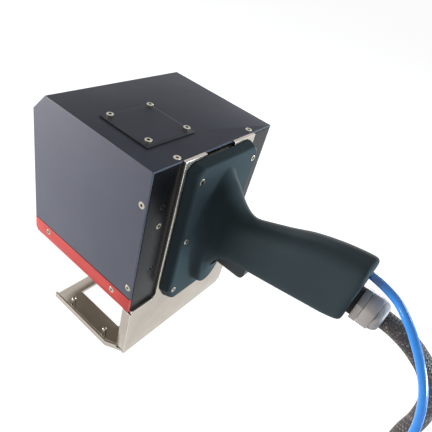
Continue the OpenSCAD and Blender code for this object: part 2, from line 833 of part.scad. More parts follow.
module grip_cavities() {
    way_l = norm([way_end[0], way_end[1] - way_z]);
    way_a = atan2(way_end[1] - way_z, way_end[0]);
    // channel for cable and hose, its chamber behind the gland
    translate([0, 0, way_z]) rotate([0, -way_a, 0]) translate([-2, 0, 0]) rod_x(channel_r, way_l + 2);
    translate([way_end[0] - 3, 0, gland_z]) rod_x(channel_r, grip_l - way_end[0] + 4);
    translate([grip_l - 10, 0, gland_z]) rod_x(gland_thread_r + fit, 11);
    // ink tube's hole, and its slant into the channel
    translate([127, 0, tube_z]) rod_x(tube_d / 2 + 0.3, grip_l - 126);
    translate([grip_l - 9, 0, tube_z]) rotate([0, 160, 0]) rod_x(tube_d / 2 + 0.7, 74);
    // trigger's pocket, open below, with the switch's niche over it
    translate([pocket_x[0], -trigger_y - trigger_gap, 38])
        cube([roof_step_x - pocket_x[0], 2 * (trigger_y + trigger_gap), roof_z[0] - 38]);
    translate([roof_step_x - 1, -trigger_y - trigger_gap, 38])
        cube([pocket_x[1] - roof_step_x + 1, 2 * (trigger_y + trigger_gap), roof_z[1] - 38]);
    translate([switch_x - 0.4, -switch_w / 2 - slack, roof_z[0] - 1])
        cube([switch_l + 0.8, switch_w + 2 * slack, switch_z[1] - roof_z[0] + 1]);
    translate([switch_x + 5, 0, switch_z[1] - 1]) cylinder(r = 2.5, h = 12);
    translate([spring_x, 0, roof_z[1] - 1]) cylinder(r = spring_r + 0.3, h = spring_top_z - roof_z[1] + 1);
    translate([pivot_x, -pin_half - fit, pivot_z]) rod_y(pin_r + fit, 2 * pin_half + 12);
}

module grip_screw_places() {
    for (y = [-1, 1], z = grip_screw_z)
        translate([sheet_t + flange_t - grip_sink, y * grip_py / 2, z]) rotate([0, 90, 0]) children();
}

module pistol_grip() {
    color("#3a4a52") at_rear() difference() {
        union() {
            flange_body();
            grip_loft();
        }
        grip_cavities();
        grip_screw_places() {
            cylinder(r = m3[1] + 0.5, h = 3 * flange_t);
            translate([0, 0, -12]) cylinder(r = m3[0] + slack, h = 14);
        }
    }
}

module grip_screws() {
    color("#dadada") at_rear() grip_screw_places()
        cap_screw(m3, flange_t - grip_sink + sheet_t + 7);
}

// ---- Trigger and switch -----------------------------------------------------

module trigger() {
    low = 45;
    back = 58.5;
    top = 65.2;
    round_r = 4;
    color("#2c383f") at_rear() difference() {
        intersection() {
            across(2 * trigger_y) union() {
                translate([pivot_x, pivot_z]) circle(pin_r + 3);
                polygon([
                    [pivot_x - 3.8, 55.6], [27.4, 50.3], [30.5, 47.2], [35.5, low],
                    [49.7, low], [54.6, 47], [57.4, 49.4], [back, 51.9],
                    [back, top], [32, top], [pivot_x, pivot_z + pin_r + 3]
                ]);
            }
            // sides rounded where the finger lies
            translate([pocket_x[0], 0, 0]) rotate([90, 0, 90]) linear_extrude(40) union() {
                translate([-trigger_y, low + round_r]) square([2 * trigger_y, 30]);
                translate([round_r - trigger_y, low]) square([2 * (trigger_y - round_r), 30]);
                for (s = [-1, 1]) translate([s * (trigger_y - round_r), low + round_r]) circle(round_r);
            }
        }
        translate([pivot_x, -trigger_y - 1, pivot_z]) rod_y(pin_r + fit, 2 * trigger_y + 2);
        translate([spring_x + 0.4, 0, spring_low_z]) cylinder(r = spring_r + 1, h = 10);
    }
}

module trigger_pin() {
    color("#dadada") at_rear() translate([pivot_x, -pin_half, pivot_z]) rod_y(pin_r, 2 * pin_half);
}

// Compression spring: a helix with closed end turns, swept by its own rule
module trigger_spring() {
    turns = 6;
    per_turn = 12;
    h = spring_top_z - spring_low_z - 2 * wire_r;
    r = spring_r - wire_r;
    closed = 2 * wire_r + 0.1;
    open = (h - 2 * closed) / (turns - 2);
    rise = function(t) t < 1 ? closed * t : t > turns - 1 ? h - closed * (turns - t)
        : closed + open * (t - 1);
    route = [for (i = [0:turns * per_turn])
        let (t = i / per_turn) [r * cos(360 * t), r * sin(360 * t), rise(t)]];
    color("#dadada") at_rear() translate([spring_x, 0, spring_low_z + wire_r]) helix(route, wire_r, 6);
}

// Wire along a helix: one ring a point, upright beside the way it runs
module helix(route, r, sides) {
    n = len(route);
    polyhedron(
        points = [for (p = route)
            let (u = unit([p[0], p[1], 0]))
            for (k = [0:sides - 1])
                let (a = 360 * k / sides)
                p + r * (cos(a) * u + sin(a) * [0, 0, 1])],
        faces = concat(
            [[for (k = [sides - 1:-1:0]) k]],
            [for (i = [0:n - 2], k = [0:sides - 1])
                let (a = i * sides + k, b = i * sides + (k + 1) % sides)
                each [[a, b, b + sides], [a, b + sides, a + sides]]],
            [[for (k = [0:sides - 1]) (n - 1) * sides + k]]
        ),
        convexity = 10
    );
}

module micro_switch() {
    color("#1d2a4d") at_rear() difference() {
        translate([switch_x, -switch_w / 2, switch_z[0]])
            cube([switch_l, switch_w, switch_z[1] - switch_z[0]]);
        translate([plunger_x, 0, switch_z[0] - 1]) cylinder(r = plunger_r + fit, h = 3);
    }
}

module switch_plunger() {
    color("#c23b30") at_rear() translate([plunger_x, 0, 65.5]) cylinder(r = plunger_r, h = 2.8);
}

// ---- Cable gland --------------------------------------------------------------

gland_bore = core_d / 2 + 1.2;
// Length of the body's neck inside the nut, and of the shoulder over the seal
neck_l = 4;
shoulder_l = 1;

module at_gland(x) {
    at_rear() translate([grip_l + x, 0, gland_z]) rotate([0, 90, 0]) children();
}

module gland_ring() {
    color("#1b1b1d") at_gland(0) difference() {
        cylinder(r = gland_thread_r, h = ring_t);
        translate([0, 0, -1]) cylinder(r = gland_thread_r - 3 + fit, h = ring_t + 2);
    }
}

module gland_body() {
    hex_r = gland_af / 2 / cos(30);
    color("#9a9a9c") at_gland(ring_t) difference() {
        union() {
            cylinder(r = hex_r, h = gland_hex_l, $fn = 6);
            translate([0, 0, -ring_t]) cylinder(r = gland_thread_r - 3, h = ring_t + 1);
            translate([0, 0, -ring_t - 9]) cylinder(r = gland_thread_r, h = 9);
            cylinder(r = gland_thread_r - 1, h = gland_hex_l + neck_l);
        }
        translate([0, 0, -ring_t - 10]) cylinder(r = gland_bore, h = 40);
    }
}

module gland_nut() {
    hex_r = gland_af / 2 / cos(30);
    inner = gland_thread_r - 1 + fit;
    color("#a2a2a4") at_gland(ring_t + gland_hex_l + slack) difference() {
        union() {
            intersection() {
                cylinder(r = hex_r, h = nut_hex_l, $fn = 6);
                cylinder(r = hex_r - 0.6, h = nut_hex_l);
            }
            rotate_extrude() polygon(concat(
                [[0, nut_hex_l - 1], [gland_af / 2 - 0.2, nut_hex_l - 1]],
                [for (a = [0:15:75])
                    [gland_af / 2 - 4.2 + 4 * cos(a), nut_hex_l + dome_l * sin(a)]],
                [[gland_af / 2 - 4, nut_hex_l + dome_l], [0, nut_hex_l + dome_l]]
            ));
        }
        translate([0, 0, -1]) cylinder(r = inner, h = nut_hex_l + 1 - shoulder_l);
        translate([0, 0, -1]) cylinder(r = cable_d / 2 + 0.3, h = nut_hex_l + dome_l + 2);
    }
}

module gland_seal() {
    color("#2a2a2c") at_gland(ring_t + gland_hex_l + neck_l) difference() {
        cylinder(r = gland_thread_r - 1 - fit, h = slack + nut_hex_l - neck_l - shoulder_l);
        translate([0, 0, -1]) cylinder(r = core_d / 2 + slack, h = 20);
    }
}

// ---- Umbilical: lead, coil, tie and end fitting of the cable and the tube -------

cable_route = [
    [138.5, 0, 156.5], [145.5, 0, 156.5], [156, 0, 155.3], [167, 0, 152],
    [177, 0.5, 146.5], [187, 1, 138.5], [199, 2, 119.5], [204, 4, 96],
    [205, 7, 69], [209, 11, 45], [222, 16, 25], [242, 22, 12], [265, 30, 7.5],
    [291, 40, 7.2], [317, 50, 7.2], [343, 60, 7.5], [371, 69, 8],
    [399, 74, 8], [431, 76, 8]
];
tube_route = [
    [123, 0, 181.3], [134.5, -1, 179.7], [146, -4, 177.5], [157, -9.5, 173],
    [168, -14, 165], [178, -17, 155], [187, -19, 143], [194, -20.5, 129],
    [199, -21.5, 114], [202, -22, 98], [203, -22, 82], [204, -22, 66],
    [207, -21.5, 50], [213, -20.5, 35], [223, -19.5, 21], [236, -18.5, 10],
    [251, -18, 5], [267, -18, 4], [282, -18, 4], [298, -18, 4]
];
cable_coil_at = [431, 0];
tube_coil_at = [298, -51];

module umbilical_cable() {
    color("#3a3230") tube(cable_route, cable_d / 2, 12);
}

module ink_tube() {
    color("#2a8ae8") tube(tube_route, tube_d / 2, 8);
}

// Closed solid round the turns of a coil, a square of n turns each way
module coil_solid(at, r, d, n) {
    translate([at[0], at[1], tie_t]) rotate_extrude()
        translate([r - n * d / 2, 0]) square(n * d);
}

// Tie round the coil's section, at an angle round the coil
module coil_tie(at, r, d, n, angle, w) {
    s = n * d + 2 * tie_t;
    translate([at[0], at[1], 0]) rotate([0, 0, angle]) translate([r - s / 2, -w / 2, 0])
        difference() {
            cube([s, w, s]);
            translate([tie_t, -1, tie_t]) cube([n * d, w + 2, n * d]);
        }
}

module umbilical_coil() {
    color("#3a3230") coil_solid(cable_coil_at, cable_coil_r, cable_d, 2);
}

module umbilical_tie() {
    color("#1b1b1d") coil_tie(cable_coil_at, cable_coil_r, cable_d, 2, 200, 20);
}

module ink_tube_coil() {
    color("#2a8ae8") coil_solid(tube_coil_at, tube_coil_r, tube_d, 3);
}

module ink_tube_tie() {
    color("#1b1b1d") coil_tie(tube_coil_at, tube_coil_r, tube_d, 3, 200, 10);
}

// Multi-pin plug that lies on the coil, its face along -Y
module umbilical_connector() {
    r = 13;
    z = tie_t + 2 * cable_d + r - 0.4;
    color("#b4b4b6") translate([cable_coil_at[0] + cable_coil_r, cable_coil_at[1], z])
        rotate([90, 0, 0]) difference() {
            union() {
                cylinder(r = 9, h = 16);
                translate([0, 0, 14]) cylinder(r1 = 9, r2 = 11, h = 6);
                translate([0, 0, 20]) cylinder(r = 11, h = 14);
                translate([0, 0, 34]) cylinder(r = r, h = 18);
                translate([0, 0, 52]) cylinder(r = 10, h = 8);
            }
            translate([0, 0, 50]) difference() {
                cylinder(r = 9, h = 11);
                for (i = [0:6]) rotate([0, 0, i * 60]) translate([i == 6 ? 0 : 5, 0, 0])
                    cylinder(r = 0.9, h = 9);
            }
        }
}

// Push-in fitting on the ink tube's far end, lying on its coil
module ink_tube_fitting() {
    r = 6;
    z = tie_t + 3 * tube_d + r - 0.4;
    color("#c0b070") translate([tube_coil_at[0] + tube_coil_r, tube_coil_at[1], z])
        rotate([90, 0, 0]) difference() {
            union() {
                cylinder(r = 4.5, h = 4);
                translate([0, 0, 3]) cylinder(r = r, h = 15);
                translate([0, 0, 17]) cylinder(r = r, h = 5, $fn = 6);
                translate([0, 0, 21]) cylinder(r = 4.2, h = 9);
            }
            translate([0, 0, 18]) cylinder(r = 2.4, h = 13);
        }
}

// ---- Drawing ---------------------------------------------------------------------

housing_cover();
rear_panel();
nozzle_base();
chassis();
access_plate();
access_gasket();
access_screws();
cover_screws();
base_screws();
panel_screws();
panel_black_screws();
valve_block();
valve_block_screws();
nozzle_plate();
nozzle_screws();
nozzle_inserts();
solenoid_valves();
ink_manifolds();
driver_board();
board_posts();
board_screws();
board_components();
inner_ink_hose();
inner_cable();
guide_bracket();
guide_studs();
pistol_grip();
grip_screws();
trigger();
trigger_pin();
trigger_spring();
micro_switch();
switch_plunger();
gland_ring();
gland_body();
gland_seal();
gland_nut();
umbilical_cable();
umbilical_coil();
umbilical_tie();
umbilical_connector();
ink_tube();
ink_tube_coil();
ink_tube_tie();
ink_tube_fitting();
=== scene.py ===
"""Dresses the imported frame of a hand-held ink-jet date coder.

The frame gives every solid. This script adds the finishes, the softened
edges of sheet and cast pieces, the screws, the cords and a plain studio.
Sizes are in metres, or in millimetres where a name ends in _mm or the
class says so.
"""

import json
import logging
import math
from dataclasses import dataclass, field
from enum import Enum
from typing import Callable, Sequence, TypeVar

import bmesh
import bpy
from mathutils import Matrix, Vector


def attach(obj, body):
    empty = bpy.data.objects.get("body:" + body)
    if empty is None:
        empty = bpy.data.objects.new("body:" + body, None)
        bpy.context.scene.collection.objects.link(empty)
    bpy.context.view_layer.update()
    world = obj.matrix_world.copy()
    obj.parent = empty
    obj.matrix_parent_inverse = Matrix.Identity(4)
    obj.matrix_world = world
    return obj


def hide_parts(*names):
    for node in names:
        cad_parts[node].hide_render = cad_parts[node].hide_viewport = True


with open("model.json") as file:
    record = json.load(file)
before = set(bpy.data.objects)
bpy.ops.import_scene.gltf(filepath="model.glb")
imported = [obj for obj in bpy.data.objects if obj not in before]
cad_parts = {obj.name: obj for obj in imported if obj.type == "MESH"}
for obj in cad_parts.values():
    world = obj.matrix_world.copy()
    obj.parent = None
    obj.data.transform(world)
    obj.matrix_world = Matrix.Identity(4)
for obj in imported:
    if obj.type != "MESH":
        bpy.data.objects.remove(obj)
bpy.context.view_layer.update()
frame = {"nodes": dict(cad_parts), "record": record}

logging.basicConfig(level=logging.INFO, format="%(message)s")
log = logging.getLogger("coder")

Point = tuple[float, float, float]
Ring = list[Vector]
Sockets = tuple[bpy.types.NodeSocket, bpy.types.NodeSocket]
FaceTest = Callable[[Vector, Vector], bool]
Reshape = Callable[[Vector], Vector]
Value = TypeVar("Value", float, Vector)

MM = 0.001
# Where the rear face and the underside of the housing lie, as in the source
REAR_X_MM = -15.5
BASE_Z_MM = 62.0
# How much thinner than the source the photograph shows the access plate
ACCESS_SINK_MM = 0.9
# How much further out than the source the heads of the grip's screws lie
GRIP_HEAD_LIFT_MM = 3.3
# How near a point of the source lies to a size that it belongs to
NEAR_MM = 0.1
# How near to each other two corners of the frame's loose triangles are one
WELD = 2e-6
# The turn up to which two faces of the source are one flat
FLAT_DEG = 0.4
# The turns over which an edge shows, by how finely each kind of piece is meshed
PLAIN_EDGE_DEG = 35.0
SOFT_EDGE_DEG = 28.0
SCREW_EDGE_DEG = 30.0
KNURL_EDGE_DEG = 30.0
GRIP_EDGE_DEG = 38.0
CORD_EDGE_DEG = 50.0
# The material slot of rounded edges
EDGE_SLOT = 1
# Points round a rod, a small hole and a hexagon
ROD_SIDES = 48
HOLE_SIDES = 32
HEX_SIDES = 6
# How far past its corners a screw's socket is looked for
SOCKET_MARGIN_MM = 0.01


# ---- small helpers ----------------------------------------------------------


def linear(hex_colour: str) -> tuple[float, float, float, float]:
    """Turns an sRGB hex colour to the linear values that a socket takes.

    Args:
        hex_colour: six hex digits after a #.

    Returns:
        Red, green, blue and an alpha of 1.
    """
    parts = [int(hex_colour[i : i + 2], 16) / 255 for i in (1, 3, 5)]
    levels = [
        c / 12.92 if c <= 0.04045 else ((c + 0.055) / 1.055) ** 2.4 for c in parts
    ]
    return (levels[0], levels[1], levels[2], 1.0)


def add_node(
    tree: bpy.types.NodeTree, kind: str, inputs: dict | None = None, **settings: object
) -> bpy.types.Node:
    """Adds a node with its settings, and fills or links its inputs.

    Args:
        tree: the node tree that takes the node.
        kind: the node's type name.
        inputs: values, or other nodes' output sockets, by input name or number.
        **settings: the node's own properties.

    Returns:
        The new node.
    """
    node = tree.nodes.new(kind)
    for name, value in settings.items():
        setattr(node, name, value)
    for key, value in (inputs or {}).items():
        if isinstance(value, bpy.types.NodeSocket):
            tree.links.new(value, node.inputs[key])
        else:
            node.inputs[key].default_value = value
    return node


def mm(*values: float) -> Vector:
    """Turns millimetres to a vector in metres."""
    return Vector(values) * MM


def from_rear(x: float, y: float, z: float) -> Vector:
    """Turns millimetres from the rear face and the underside to the frame."""
    return mm(REAR_X_MM + x, y, BASE_Z_MM + z)


def new_piece(name: str, mesh: bpy.types.Mesh) -> bpy.types.Object:
    """Links a new object with this mesh, at the origin, unturned and unscaled.

    Args:
        name: the object's name.
        mesh: its mesh.

    Returns:
        The new object.
    """
    piece = bpy.data.objects.new(name, mesh)
    bpy.context.scene.collection.objects.link(piece)
    return piece


def drop(piece: bpy.types.Object) -> None:
    """Deletes a helper object."""
    bpy.data.objects.remove(piece, do_unlink=True)


def baked(piece: bpy.types.Object) -> bpy.types.Object:
    """Turns what the modifiers show into the piece's own plain mesh.

    Args:
        piece: the object with live modifiers.

    Returns:
        The same object, with a plain mesh and no modifier.
    """
    bpy.context.view_layer.update()
    graph = bpy.context.evaluated_depsgraph_get()
    mesh = bpy.data.meshes.new_from_object(piece.evaluated_get(graph))
    piece.modifiers.clear()
    piece.data = mesh
    return piece


def shade(mesh: bpy.types.Mesh, angle_deg: float) -> None:
    """Shades a mesh smooth, with its edges over an angle kept sharp.

    Args:
        mesh: the mesh to mark.
        angle_deg: how much two faces may turn and still look like one.
    """
    work = bmesh.new()
    work.from_mesh(mesh)
    for face in work.faces:
        face.smooth = True
    limit = math.radians(angle_deg)
    for edge in work.edges:
        inner = len(edge.link_faces) == 2
        edge.smooth = inner and edge.calc_face_angle(math.pi) < limit
    work.to_mesh(mesh)
    work.free()


def loft(rings: Sequence[Ring]) -> bmesh.types.BMesh:
    """Skins rings of the same count of points, in order, and closes the ends.

    Args:
        rings: the rings, each run round the same way.

    Returns:
        A mesh with its faces turned outwards.
    """
    work = bmesh.new()
    rows = [[work.verts.new(p) for p in ring] for ring in rings]
    count = len(rings[0])
    for low, high in zip(rows, rows[1:]):
        for k in range(count):
            after = (k + 1) % count
            work.faces.new((low[k], low[after], high[after], high[k]))
    work.faces.new(rows[0][::-1])
    work.faces.new(rows[-1])
    bmesh.ops.recalc_face_normals(work, faces=work.faces)
    return work


def ease(t: float) -> float:
    """Goes from 0 to 1 without a jerk."""
    return t * t * (3 - 2 * t)


def ramp(value: float, span: tuple[float, float]) -> float:
    """Eases from 0 at the span's start to 1 at its end."""
    start, end = span
    return ease(min(max((value - start) / (end - start), 0.0), 1.0))


def between(p: Value, q: Value, r: Value, s: Value, t: float) -> Value:
    """Runs smoothly from one value to the next, in line with their neighbours.

    Args:
        p: the value before q.
        q: the value at the start.
        r: the value at the end.
        s: the value after r.
        t: how far it is from q to r, from 0 to 1.

    Returns:
        The value at that share of the way.
    """
    slope = r - p
    bend = 2 * p - 5 * q + 4 * r - s
    turn = 3 * q - p - 3 * r + s
    return 0.5 * (2 * q + slope * t + bend * t * t + turn * t ** 3)


def circle(radius: float, count: int, z: float) -> Ring:
    """Gives points round a circle at a height."""
    turns = [2 * math.pi * k / count for k in range(count)]
    return [Vector((radius * math.cos(a), radius * math.sin(a), z)) for a in turns]


def to_piece(
    name: str, work: bmesh.types.BMesh, angle_deg: float = PLAIN_EDGE_DEG
) -> bpy.types.Object:
    """Makes a shaded object from a bmesh and frees it.

    Args:
        name: the object's name.
        work: the bmesh, which is freed.
        angle_deg: how much two faces may turn and still look like one.

    Returns:
        The new object.
    """
    mesh = bpy.data.meshes.new(name)
    work.to_mesh(mesh)
    work.free()
    shade(mesh, angle_deg)
    return new_piece(name, mesh)


def rod(
    start: Vector, end: Vector, radius: float, count: int = ROD_SIDES
) -> bmesh.types.BMesh:
    """Makes a closed cylinder between two points.

    Args:
        start: the middle of one end.
        end: the middle of the other end.
        radius: its radius.
        count: its sides.

    Returns:
        The cylinder's mesh.
    """
    along = end - start
    turn = along.to_track_quat("Z", "Y").to_matrix().to_4x4()
    work = loft([circle(radius, count, 0.0), circle(radius, count, along.length)])
    work.transform(Matrix.Translation(start) @ turn)
    return work


def box(low: Vector, high: Vector) -> bmesh.types.BMesh:
    """Makes a closed box between two corners."""
    corners = [(low.x, low.y), (high.x, low.y), (high.x, high.y), (low.x, high.y)]
    return loft([[Vector((x, y, z)) for x, y in corners] for z in (low.z, high.z)])


# ---- finishes ---------------------------------------------------------------


class Grain(Enum):
    """How a surface was made, which sets the pattern that the eye finds."""

    EVEN = "fine even grain, as on powder coat, castings, mouldings and tape"
    BRUSHED = "long parallel scratches of a brushed or rolled sheet"
    BRAID = "strands that cross over and under each other"


@dataclass(frozen=True)
class Cloud:
    """A slow change of tone over a surface, with the grain that lies in it.

    Attributes:
        size_mm: how wide one cloud is.
        detail: finer steps within a cloud.
        grain_detail: finer steps within a grain.
        least: the tone where neither shows.
    """

    size_mm: float
    detail: float
    grain_detail: float
    least: float


EVEN_CLOUD = Cloud(40.0, 3.0, 2.0, 0.12)
BRUSHED_CLOUD = Cloud(25.0, 2.0, 3.0, 0.15)
# How many times as long as wide a brushed scratch is
SCRATCH_LENGTH = 40
# The shares of the tone between which a surface goes over to its second colour
TONE_SPAN = (0.25, 0.85)
# The smoothest that a real surface gets
LEAST_ROUGHNESS = 0.03
# How rare the pale strands of a braid are
PALE_POWER = 1.8

# The steps that weave a braid: name, operation, and what each works on
WEAVE = (
    ("rising", "ADD", "around", "along"),
    ("falling", "SUBTRACT", "around", "along"),
    ("rising cell", "FLOOR", "rising"),
    ("falling cell", "FLOOR", "falling"),
    ("rising angle", "MULTIPLY", "rising", math.pi),
    ("rising wave", "SINE", "rising angle"),
    ("rising ridge", "ABSOLUTE", "rising wave"),
    ("falling angle", "MULTIPLY", "falling", math.pi),
    ("falling wave", "SINE", "falling angle"),
    ("falling ridge", "ABSOLUTE", "falling wave"),
    ("cells", "ADD", "rising cell", "falling cell"),
    ("over", "PINGPONG", "cells", 1.0),
    ("under", "SUBTRACT", 1.0, "over"),
    ("upper", "MULTIPLY", "rising ridge", "over"),
    ("lower", "MULTIPLY", "falling ridge", "under"),
    ("height", "ADD", "upper", "lower"),
    ("rising pick", "MULTIPLY", "rising cell", "over"),
    ("falling pick", "MULTIPLY", "falling cell", "under"),
)
# The steps from each strand's chance to the tone of the braid; a pale strand's tone
# falls with its height towards its edges, which paints shade into the creases between
# strands
WEAVE_TONE = (
    ("paleness", "POWER", "chance", PALE_POWER),
    # painted shade: the tone falls with the strand's height
    ("tone", "MULTIPLY", "paleness", "height"),
)


@dataclass(frozen=True)
class Finish:
    """A real material with the way its surface was made.

    Attributes:
        name: the material's common name and finish.
        colour: its main colour, sRGB hex.
        shade: the colour of its darker or lighter grain, sRGB hex.
        roughness: how far it spreads a reflection.
        grain: how its surface was made.
        grain_mm: the size of one grain, scratch or strand.
        depth_mm: how deep the grain is.
        spread: how much the roughness differs from place to place.
        metallic: 1 on bare metal.
        ior: index of refraction where it isn't a metal.
        coat: strength of a clear layer on top.
        sheen: strength of the soft edge light of fibres.
        anisotropic: how far brushing draws a highlight out.
        run: brushing direction.
    """

    name: str
    colour: str
    shade: str
    roughness: float
    grain: Grain = Grain.EVEN
    grain_mm: float = 0.6
    depth_mm: float = 0.02
    spread: float = 0.06
    metallic: float = 0.0
    ior: float = 1.5
    coat: float = 0.0
    sheen: float = 0.0
    anisotropic: float = 0.0
    run: Point = (0.0, 1.0, 0.0)

    def build(self) -> bpy.types.Material:
        """Makes the material, its pattern by the way the surface was made.

        Returns:
            The new material.
        """
        material = bpy.data.materials.new(self.name)
        material.use_nodes = True
        tree = material.node_tree
        tree.nodes.clear()
        patterns: dict[Grain, Callable[[bpy.types.NodeTree], Sockets]] = {
            Grain.EVEN: self.even,
            Grain.BRUSHED: self.brushed,
            Grain.BRAID: self.braid,
        }
        height, tone = patterns[self.grain](tree)
        colour = self.two_tone(tree, tone)
        rough = add_node(tree, "ShaderNodeMapRange", {
            "Value": tone,
            "To Min": max(LEAST_ROUGHNESS, self.roughness - self.spread),
            "To Max": min(1.0, self.roughness + self.spread),
        })
        bump = add_node(tree, "ShaderNodeBump", {
            "Height": height, "Strength": 1.0, "Distance": self.depth_mm * MM,
        })
        shader = add_node(tree, "ShaderNodeBsdfPrincipled", {
            "Base Color": colour,
            "Roughness": rough.outputs[0],
            "Normal": bump.outputs[0],
            "Metallic": self.metallic,
            "Coat Weight": self.coat,
            "Sheen Weight": self.sheen,
            "Anisotropic": self.anisotropic,
        })
        if not self.metallic:
            shader.inputs["IOR"].default_value = self.ior
        add_node(tree, "ShaderNodeOutputMaterial", {"Surface": shader.outputs[0]})
        return material

    def two_tone(
        self, tree: bpy.types.NodeTree, tone: bpy.types.NodeSocket
    ) -> bpy.types.NodeSocket:
        """Runs from the main colour to the grain's colour by the tone.

        Args:
            tree: the material's tree.
            tone: the tone, from 0 to 1.

        Returns:
            The colour.
        """
        blend = add_node(tree, "ShaderNodeValToRGB", {0: tone})
        stops = zip(blend.color_ramp.elements, TONE_SPAN, (self.colour, self.shade))
        for stop, place, colour in stops:
            stop.position = place
            stop.color = linear(colour)
        return blend.outputs[0]

    def clouded(
        self, tree: bpy.types.NodeTree, place: bpy.types.NodeSocket,
        drawn: bpy.types.NodeSocket, cloud: Cloud,
    ) -> Sockets:
        """Draws the grain with a slow cloud of tone.

        Args:
            tree: the material's tree.
            place: the place on the piece.
            drawn: the place as it is stretched for the grain.
            cloud: the cloud's sizes.

        Returns:
            The grain's height and the tone.
        """
        grain = add_node(tree, "ShaderNodeTexNoise", {
            "Vector": drawn, "Scale": 1 / (self.grain_mm * MM),
            "Detail": cloud.grain_detail,
        })
        slow = add_node(tree, "ShaderNodeTexNoise", {
            "Vector": place, "Scale": 1 / (cloud.size_mm * MM), "Detail": cloud.detail,
        })
        tone = add_node(
            tree, "ShaderNodeMath",
            {0: grain.outputs[0], 1: slow.outputs[0], 2: cloud.least},
            operation="MULTIPLY_ADD",
        )
        return grain.outputs[0], tone.outputs[0]

    def even(self, tree: bpy.types.NodeTree) -> Sockets:
        """Draws a fine grain that is alike in every direction."""
        place = add_node(tree, "ShaderNodeTexCoord").outputs["Object"]
        return self.clouded(tree, place, place, EVEN_CLOUD)

    def brushed(self, tree: bpy.types.NodeTree) -> Sockets:
        """Draws long fine scratches along the run.

        Args:
            tree: the material's tree.

        Returns:
            The scratches' height and the tone.
        """
        place = add_node(tree, "ShaderNodeTexCoord").outputs["Object"]
        squeeze = [1.0 if not r else 1 / SCRATCH_LENGTH for r in self.run]
        stretched = add_node(
            tree, "ShaderNodeMapping", {"Vector": place, "Scale": squeeze}
        )
        return self.clouded(tree, place, stretched.outputs[0], BRUSHED_CLOUD)

    def braid(self, tree: bpy.types.NodeTree) -> Sockets:
        """Crosses two sets of strands over and under, on the piece's own UV map.

        Args:
            tree: the material's tree.

        Returns:
            The strands' height and the tone.
        """
        uv = add_node(tree, "ShaderNodeTexCoord").outputs["UV"]
        parts = add_node(tree, "ShaderNodeSeparateXYZ", {0: uv}).outputs
        found = {"along": parts[0], "around": parts[1]}
        self.work_out(tree, found, WEAVE)
        picks = add_node(tree, "ShaderNodeCombineXYZ", {
            0: found["rising pick"], 1: found["falling pick"],
        })
        speckle = add_node(
            tree, "ShaderNodeTexWhiteNoise", {0: picks.outputs[0]},
            noise_dimensions="3D",
        )
        found["chance"] = speckle.outputs[0]
        self.work_out(tree, found, WEAVE_TONE)
        return found["height"], found["tone"]

    @staticmethod
    def work_out(
        tree: bpy.types.NodeTree, found: dict[str, bpy.types.NodeSocket],
        steps: Sequence[tuple],
    ) -> None:
        """Adds the steps of a sum, each on numbers or on what is found so far.

        Args:
            tree: the material's tree.
            found: the results by name, which grow by one a step.
            steps: each step's name, operation and terms.
        """
        for name, operation, *terms in steps:
            inputs = {i: found.get(term, term) for i, term in enumerate(terms)}
            node = add_node(tree, "ShaderNodeMath", inputs, operation=operation)
            found[name] = node.outputs[0]


# Sheet steel under a satin powder coat: a blue-grey with a very fine orange
# peel, low gloss, so that the top stays dark under a bright room
POWDER_COAT = Finish("powder_coat_blue_grey", "#5a5d69", "#4e515c", 0.5, grain_mm=0.9,
                     depth_mm=0.015, ior=1.2)
# The same coat on the cover's rounded folds: a hair darker and smoother
FOLD_COAT = Finish("powder_coat_folds", "#555863", "#4b4e59", 0.45, grain_mm=0.9,
                     depth_mm=0.01, ior=1.2)
# The access plate's sides and rounded edges, painted near-black as painted shade
PLATE_EDGE_SHADE = Finish("plate_edge_painted_shade", "#17171b", "#1e1e22", 0.6, grain_mm=0.4,
                        depth_mm=0.01, ior=1.3)
# Painted shade in the seam between cover and base: the lip inside the cover and the
# rim's underside are painted dark, so that the seam shows as a thin dark line
SEAM_SHADE = Finish("seam_painted_shade", "#2b1418", "#35191d", 0.8, grain_mm=0.5,
                     depth_mm=0.02)
# Anodised plate with a deep black gloss that mirrors the room as a grey veil
BLACK_ANODISED = Finish("anodised_black", "#0d0d10", "#131316", 0.28, grain_mm=0.5,
                        depth_mm=0.004, spread=0.03, ior=1.3)
# Anodised aluminium, dyed red: satin, with the fine bite of etching
RED_ANODISED = Finish("anodised_red", "#c4403b", "#b93834", 0.42, grain_mm=0.5,
                      depth_mm=0.008, ior=1.4)
# The base's underside: a pale dull colour, made paler as painted light where little
# light reaches, so that the plate below mirrors it brighter
UNDERSIDE_PAINTED_LIGHT = Finish("underside_painted_light", "#dcd3c7", "#cbc2b6", 0.6,
                        grain_mm=0.8, depth_mm=0.01)
# The base's rounded edges, painted a paler red as a painted highlight
RED_EDGE_HIGHLIGHT = Finish("anodised_red_painted_highlight", "#e0726c", "#cf4a45", 0.36, grain_mm=0.5,
                    depth_mm=0.006)
# Folded stainless sheet, brushed along its width: warm grey with fine lines,
# which are drawn 0.5 mm apart because the real 0.1 mm would not show
STAINLESS = Finish("stainless_brushed", "#b9b1a7", "#a1998e", 0.24, Grain.BRUSHED,
                   grain_mm=0.5, depth_mm=0.005, metallic=1.0, anisotropic=0.3)
# Its rounded edges: painted paler as a painted highlight
STAINLESS_EDGE_HIGHLIGHT = Finish("stainless_painted_highlight", "#ded9d2", "#c4beb5", 0.35, Grain.BRUSHED,
                        grain_mm=0.4, depth_mm=0.004, metallic=1.0)
# Cast housing grip under a rubbery soft-touch paint: dark green-blue, matte,
# with the fine pimples of the spray
SOFT_TOUCH = Finish("soft_touch_paint", "#3a464b", "#323d42", 0.68, grain_mm=0.7,
                    depth_mm=0.02, ior=1.2)
# Moulded trigger: darker than the paint and a little glossier from the finger
TRIGGER_PLASTIC = Finish("trigger_moulded_nylon", "#252f35", "#1f282d", 0.46,
                         grain_mm=0.6, depth_mm=0.02, ior=1.4)
